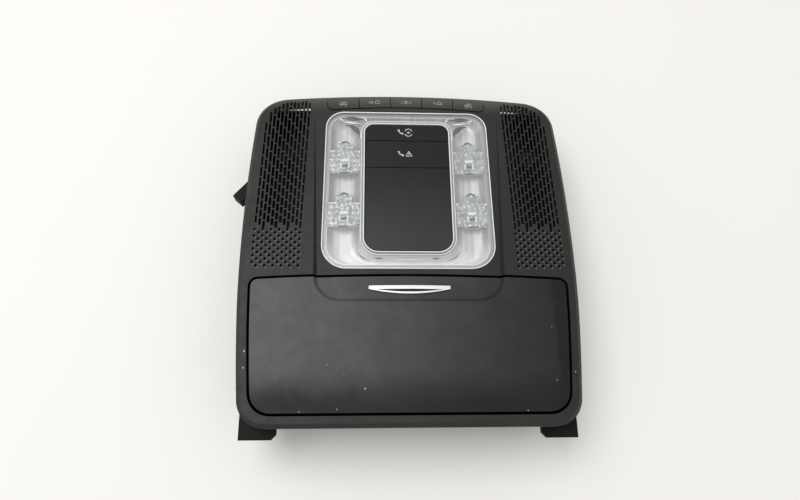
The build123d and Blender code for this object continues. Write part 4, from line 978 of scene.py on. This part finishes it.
class CONSOLE_OT_dress_inside(bpy.types.Operator):
    """Paint the pieces inside: board, switches, screws, springs, damper, liner and optics' bodies"""

    bl_idname = "console.dress_inside"
    bl_label = "Dress Inside"

    def execute(self, context):
        steel = plain_finish(
            "bright_steel", (0.55, 0.55, 0.55), roughness=0.3, metallic=1.0, scale=200, vary=0.2
        )
        black = plain_finish("switch_black", (0.018, 0.018, 0.018), roughness=0.45)
        nylon = plain_finish("natural_nylon", (0.72, 0.70, 0.62), roughness=0.5, scale=250, vary=0.12)
        boot = plain_finish("soft_boot", (0.004, 0.004, 0.004), roughness=0.9, scale=700)
        nap = plain_finish(
            "flock_nap", (0.022, 0.022, 0.024), roughness=0.95, scale=2200, vary=0.5, depth=0.2 * MM
        )
        paint(OPTICS, clear_plastic(alpha=0.35))
        paint(STEEL_PIECES, steel)
        paint(["tact_switches", "damper_body"], black)
        paint(["reading_leds", "damper_pinion"], nylon)
        paint(["microphone_left", "microphone_right"], boot)
        paint(["tray_liner"], nap)
        paint(["circuit_board"], board_laminate((0.02, 0.11, 0.045)))
        return {"FINISHED"}


class CONSOLE_OT_line_pan(bpy.types.Operator):
    """Line the lamp pan with its smooth silvered trough, its shoulders and the dark and bright painted
    reflections in its shine
    """

    bl_idname = "console.line_pan"
    bl_label = "Line Pan"

    def execute(self, context):
        silver = bpy.data.materials["silver_coat"]
        shoulder = plain_finish(
            "shoulder_coat", (0.40, 0.41, 0.41), roughness=0.35, metallic=0.4, scale=260, vary=0.35
        )
        # Dark and bright painted reflections in the silvered pan
        shade = plain_finish("pan_dark_reflection", (0.05, 0.05, 0.055), roughness=0.3)
        shine = plain_finish("pan_bright_reflection", (0.92, 0.93, 0.94), roughness=0.2, metallic=0.2, vary=0.1)
        add_piece("pan_trough", [pan_trough()], "console", silver)
        add_piece("pan_shoulders", pan_shoulders(), "console", shoulder)
        add_piece("pan_reflections_dark", dark_pan_reflections(), "console", shade)
        add_piece("pan_reflections_bright", bright_pan_reflections(), "console", shine)
        return {"FINISHED"}


class CONSOLE_OT_cut_optics(bpy.types.Operator):
    """Cut the facets on the four reading optics and set the dark and bright places in each"""

    bl_idname = "console.cut_optics"
    bl_label = "Cut Optics"

    def execute(self, context):
        detail = context.scene.console_detail
        facets, dark, bright = [], [], []
        for side in (-1, 1):
            for y in OPTIC_ROWS:
                x, brow_y = side * OPTIC_X, y + (OPTIC_SIZE[1] + BROW_SIZE[1]) / 2
                facets.append(facet_field(x, y, OPTIC_SIZE, detail.facets, detail.facet_depth))
                facets.append(facet_field(x, brow_y, BROW_SIZE, detail.facets // 2, detail.facet_depth))
                dark += optic_shadows(x, y, brow_y)
                bright += optic_glints(x, y, brow_y, side)
        crystal = cut_crystal((0.45, 0.47, 0.48))
        shadow = plain_finish("optic_shadow", (0.035, 0.037, 0.04), roughness=0.2, scale=400)
        glint = plain_finish("optic_glint", (0.93, 0.94, 0.95), roughness=0.1, scale=500, vary=0.08)
        add_piece("optic_facets", facets, "console", crystal, smooth=False)
        add_piece("optic_shadows", dark, "console", shadow)
        add_piece("optic_glints", bright, "console", glint)
        return {"FINISHED"}


class CONSOLE_OT_edge_lens(bpy.types.Operator):
    """Put the painted highlights, bright raised lines, along the moulded edges round the lens"""

    bl_idname = "console.edge_lens"
    bl_label = "Edge Lens"

    def execute(self, context):
        width = context.scene.console_detail.rim_width
        inset = width / 2 + EDGE_INSET
        outer_path, inner_path = rounded_loop(LENS_LOOP, -inset), rounded_loop(PANEL_LOOP, inset)
        # A second painted highlight, narrower, just outside the panel
        ridge_path, ridge_width = rounded_loop(PANEL_LOOP, RIDGE_OFFSET), width * RIDGE_SHARE
        edges = [
            ribbon(outer_path, width, lens_top, EDGE_LIFT, closed=True),
            ribbon(inner_path, width, lens_top, EDGE_LIFT, closed=True),
            ribbon(ridge_path, ridge_width, lens_top, RIDGE_LIFT, closed=True),
        ]
        add_piece("lens_edge_highlights", edges, "console", lens_edge_highlight((0.95, 0.955, 0.96)))
        return {"FINISHED"}


class CONSOLE_OT_print_buttons(bpy.types.Operator):
    """Print a lamp symbol on each of the five buttons"""

    bl_idname = "console.print_buttons"
    bl_label = "Print Buttons"

    def execute(self, context):
        detail = context.scene.console_detail
        ink = print_ink("button_ink", context.scene.console_finish.faint_ink)
        symbols = [lamp_symbol(), door_symbol(), all_lamps_symbol(), room_symbol(), lamp_symbol()]
        for index, (name, paths) in enumerate(zip(BUTTONS, symbols)):
            turn = (index - len(BUTTONS) // 2) * BUTTON_PITCH / BUTTON_ARC_RADIUS
            arc_drop = BUTTON_ARC_RADIUS * (1 - np.cos(turn))
            centre = (BUTTON_ARC_RADIUS * np.sin(turn), BUTTON_MID_Y - arc_drop)
            places = [path * SYMBOL_SCALE + centre for path in paths]
            lines = [ribbon(path, detail.print_width, button_top, detail.print_lift) for path in places]
            add_piece(name + "_print", lines, name, ink)
        return {"FINISHED"}


class CONSOLE_OT_print_keys(bpy.types.Operator):
    """Print the call symbols on the two keys of the centre panel"""

    bl_idname = "console.print_keys"
    bl_label = "Print Keys"

    def execute(self, context):
        detail = context.scene.console_detail
        width, lift = detail.key_print_width, detail.print_lift
        ink = print_ink("print_ink", context.scene.console_finish.ink)
        for name, paths, y in zip(KEYS, (ring_symbol(), warning_symbol()), KEY_ROWS):
            lines = [ribbon(path + (0, y), width, lens_top, lift) for path in paths]
            lines.append(ribbon(*handset(HANDSET_X, y), lens_top, lift))
            add_piece(name + "_print", lines, name, ink)
        return {"FINISHED"}


class CONSOLE_OT_scatter_specks(bpy.types.Operator):
    """Put the pale specks and chips on the door, its gap and the casing"""

    bl_idname = "console.scatter_specks"
    bl_label = "Scatter Specks"

    def execute(self, context):
        chip = plain_finish("pale_chip", (0.62, 0.61, 0.58), roughness=0.7, scale=900, vary=0.3)
        scatter = (("door_specks", DOOR_SPECKS, "bin_door"), ("casing_specks", CASING_SPECKS, "console"))
        for name, specks, body in scatter:
            beads = [
                bead(*speck, SPECK_HEIGHT, face_height, SPECK_WOBBLE, seed)
                for seed, speck in enumerate(specks)
            ]
            add_piece(name, beads, body, chip)
        return {"FINISHED"}


class CONSOLE_OT_set_stage(bpy.types.Operator):
    """Set the pale table, the soft light and the camera"""

    bl_idname = "console.set_stage"
    bl_label = "Set Stage"

    def execute(self, context):
        scene, stage = context.scene, context.scene.console_stage
        scene.view_settings.view_transform = "Standard"
        white = plain_finish("table_white", stage.floor, roughness=0.6, scale=8, vary=0.02, depth=0.01 * MM)
        floor = new_mesh("table", *table_sheet(), white)
        scene.world = even_light(stage.world)
        add_key_lamp(stage.key)
        scene.camera = add_camera(stage)
        return {"FINISHED"}


# Panel and registration
class CONSOLE_PT_panel(bpy.types.Panel):
    """Lists the colours, sizes and steps that dress the console lamp"""

    bl_idname = "CONSOLE_PT_panel"
    bl_label = "Console Lamp"
    bl_space_type = "VIEW_3D"
    bl_region_type = "UI"
    bl_category = "Console Lamp"

    def draw(self, context):
        for group_name, group in GROUPS.items():
            for name in group.__annotations__:
                self.layout.prop(getattr(context.scene, group_name), name)
        for step in STEPS:
            self.layout.operator(step.bl_idname)


GROUPS = {"console_finish": ConsoleFinish, "console_detail": ConsoleDetail, "console_stage": ConsoleStage}
STEPS = (
    CONSOLE_OT_dress_casing,
    CONSOLE_OT_dress_inside,
    CONSOLE_OT_line_pan,
    CONSOLE_OT_cut_optics,
    CONSOLE_OT_edge_lens,
    CONSOLE_OT_print_buttons,
    CONSOLE_OT_print_keys,
    CONSOLE_OT_scatter_specks,
    CONSOLE_OT_set_stage,
)


def register():
    for name, group in GROUPS.items():
        bpy.utils.register_class(group)
        setattr(bpy.types.Scene, name, bpy.props.PointerProperty(type=group))
    for step in STEPS:
        bpy.utils.register_class(step)
    bpy.utils.register_class(CONSOLE_PT_panel)


def unregister():
    bpy.utils.unregister_class(CONSOLE_PT_panel)
    for step in reversed(STEPS):
        bpy.utils.unregister_class(step)
    for name, group in GROUPS.items():
        delattr(bpy.types.Scene, name)
        bpy.utils.unregister_class(group)


def main():
    register()
    bpy.ops.console.dress_casing()
    bpy.ops.console.dress_inside()
    bpy.ops.console.line_pan()
    bpy.ops.console.cut_optics()
    bpy.ops.console.edge_lens()
    bpy.ops.console.print_buttons()
    bpy.ops.console.print_keys()
    bpy.ops.console.scatter_specks()
    bpy.ops.console.set_stage()


if __name__ == "__main__":
    main()
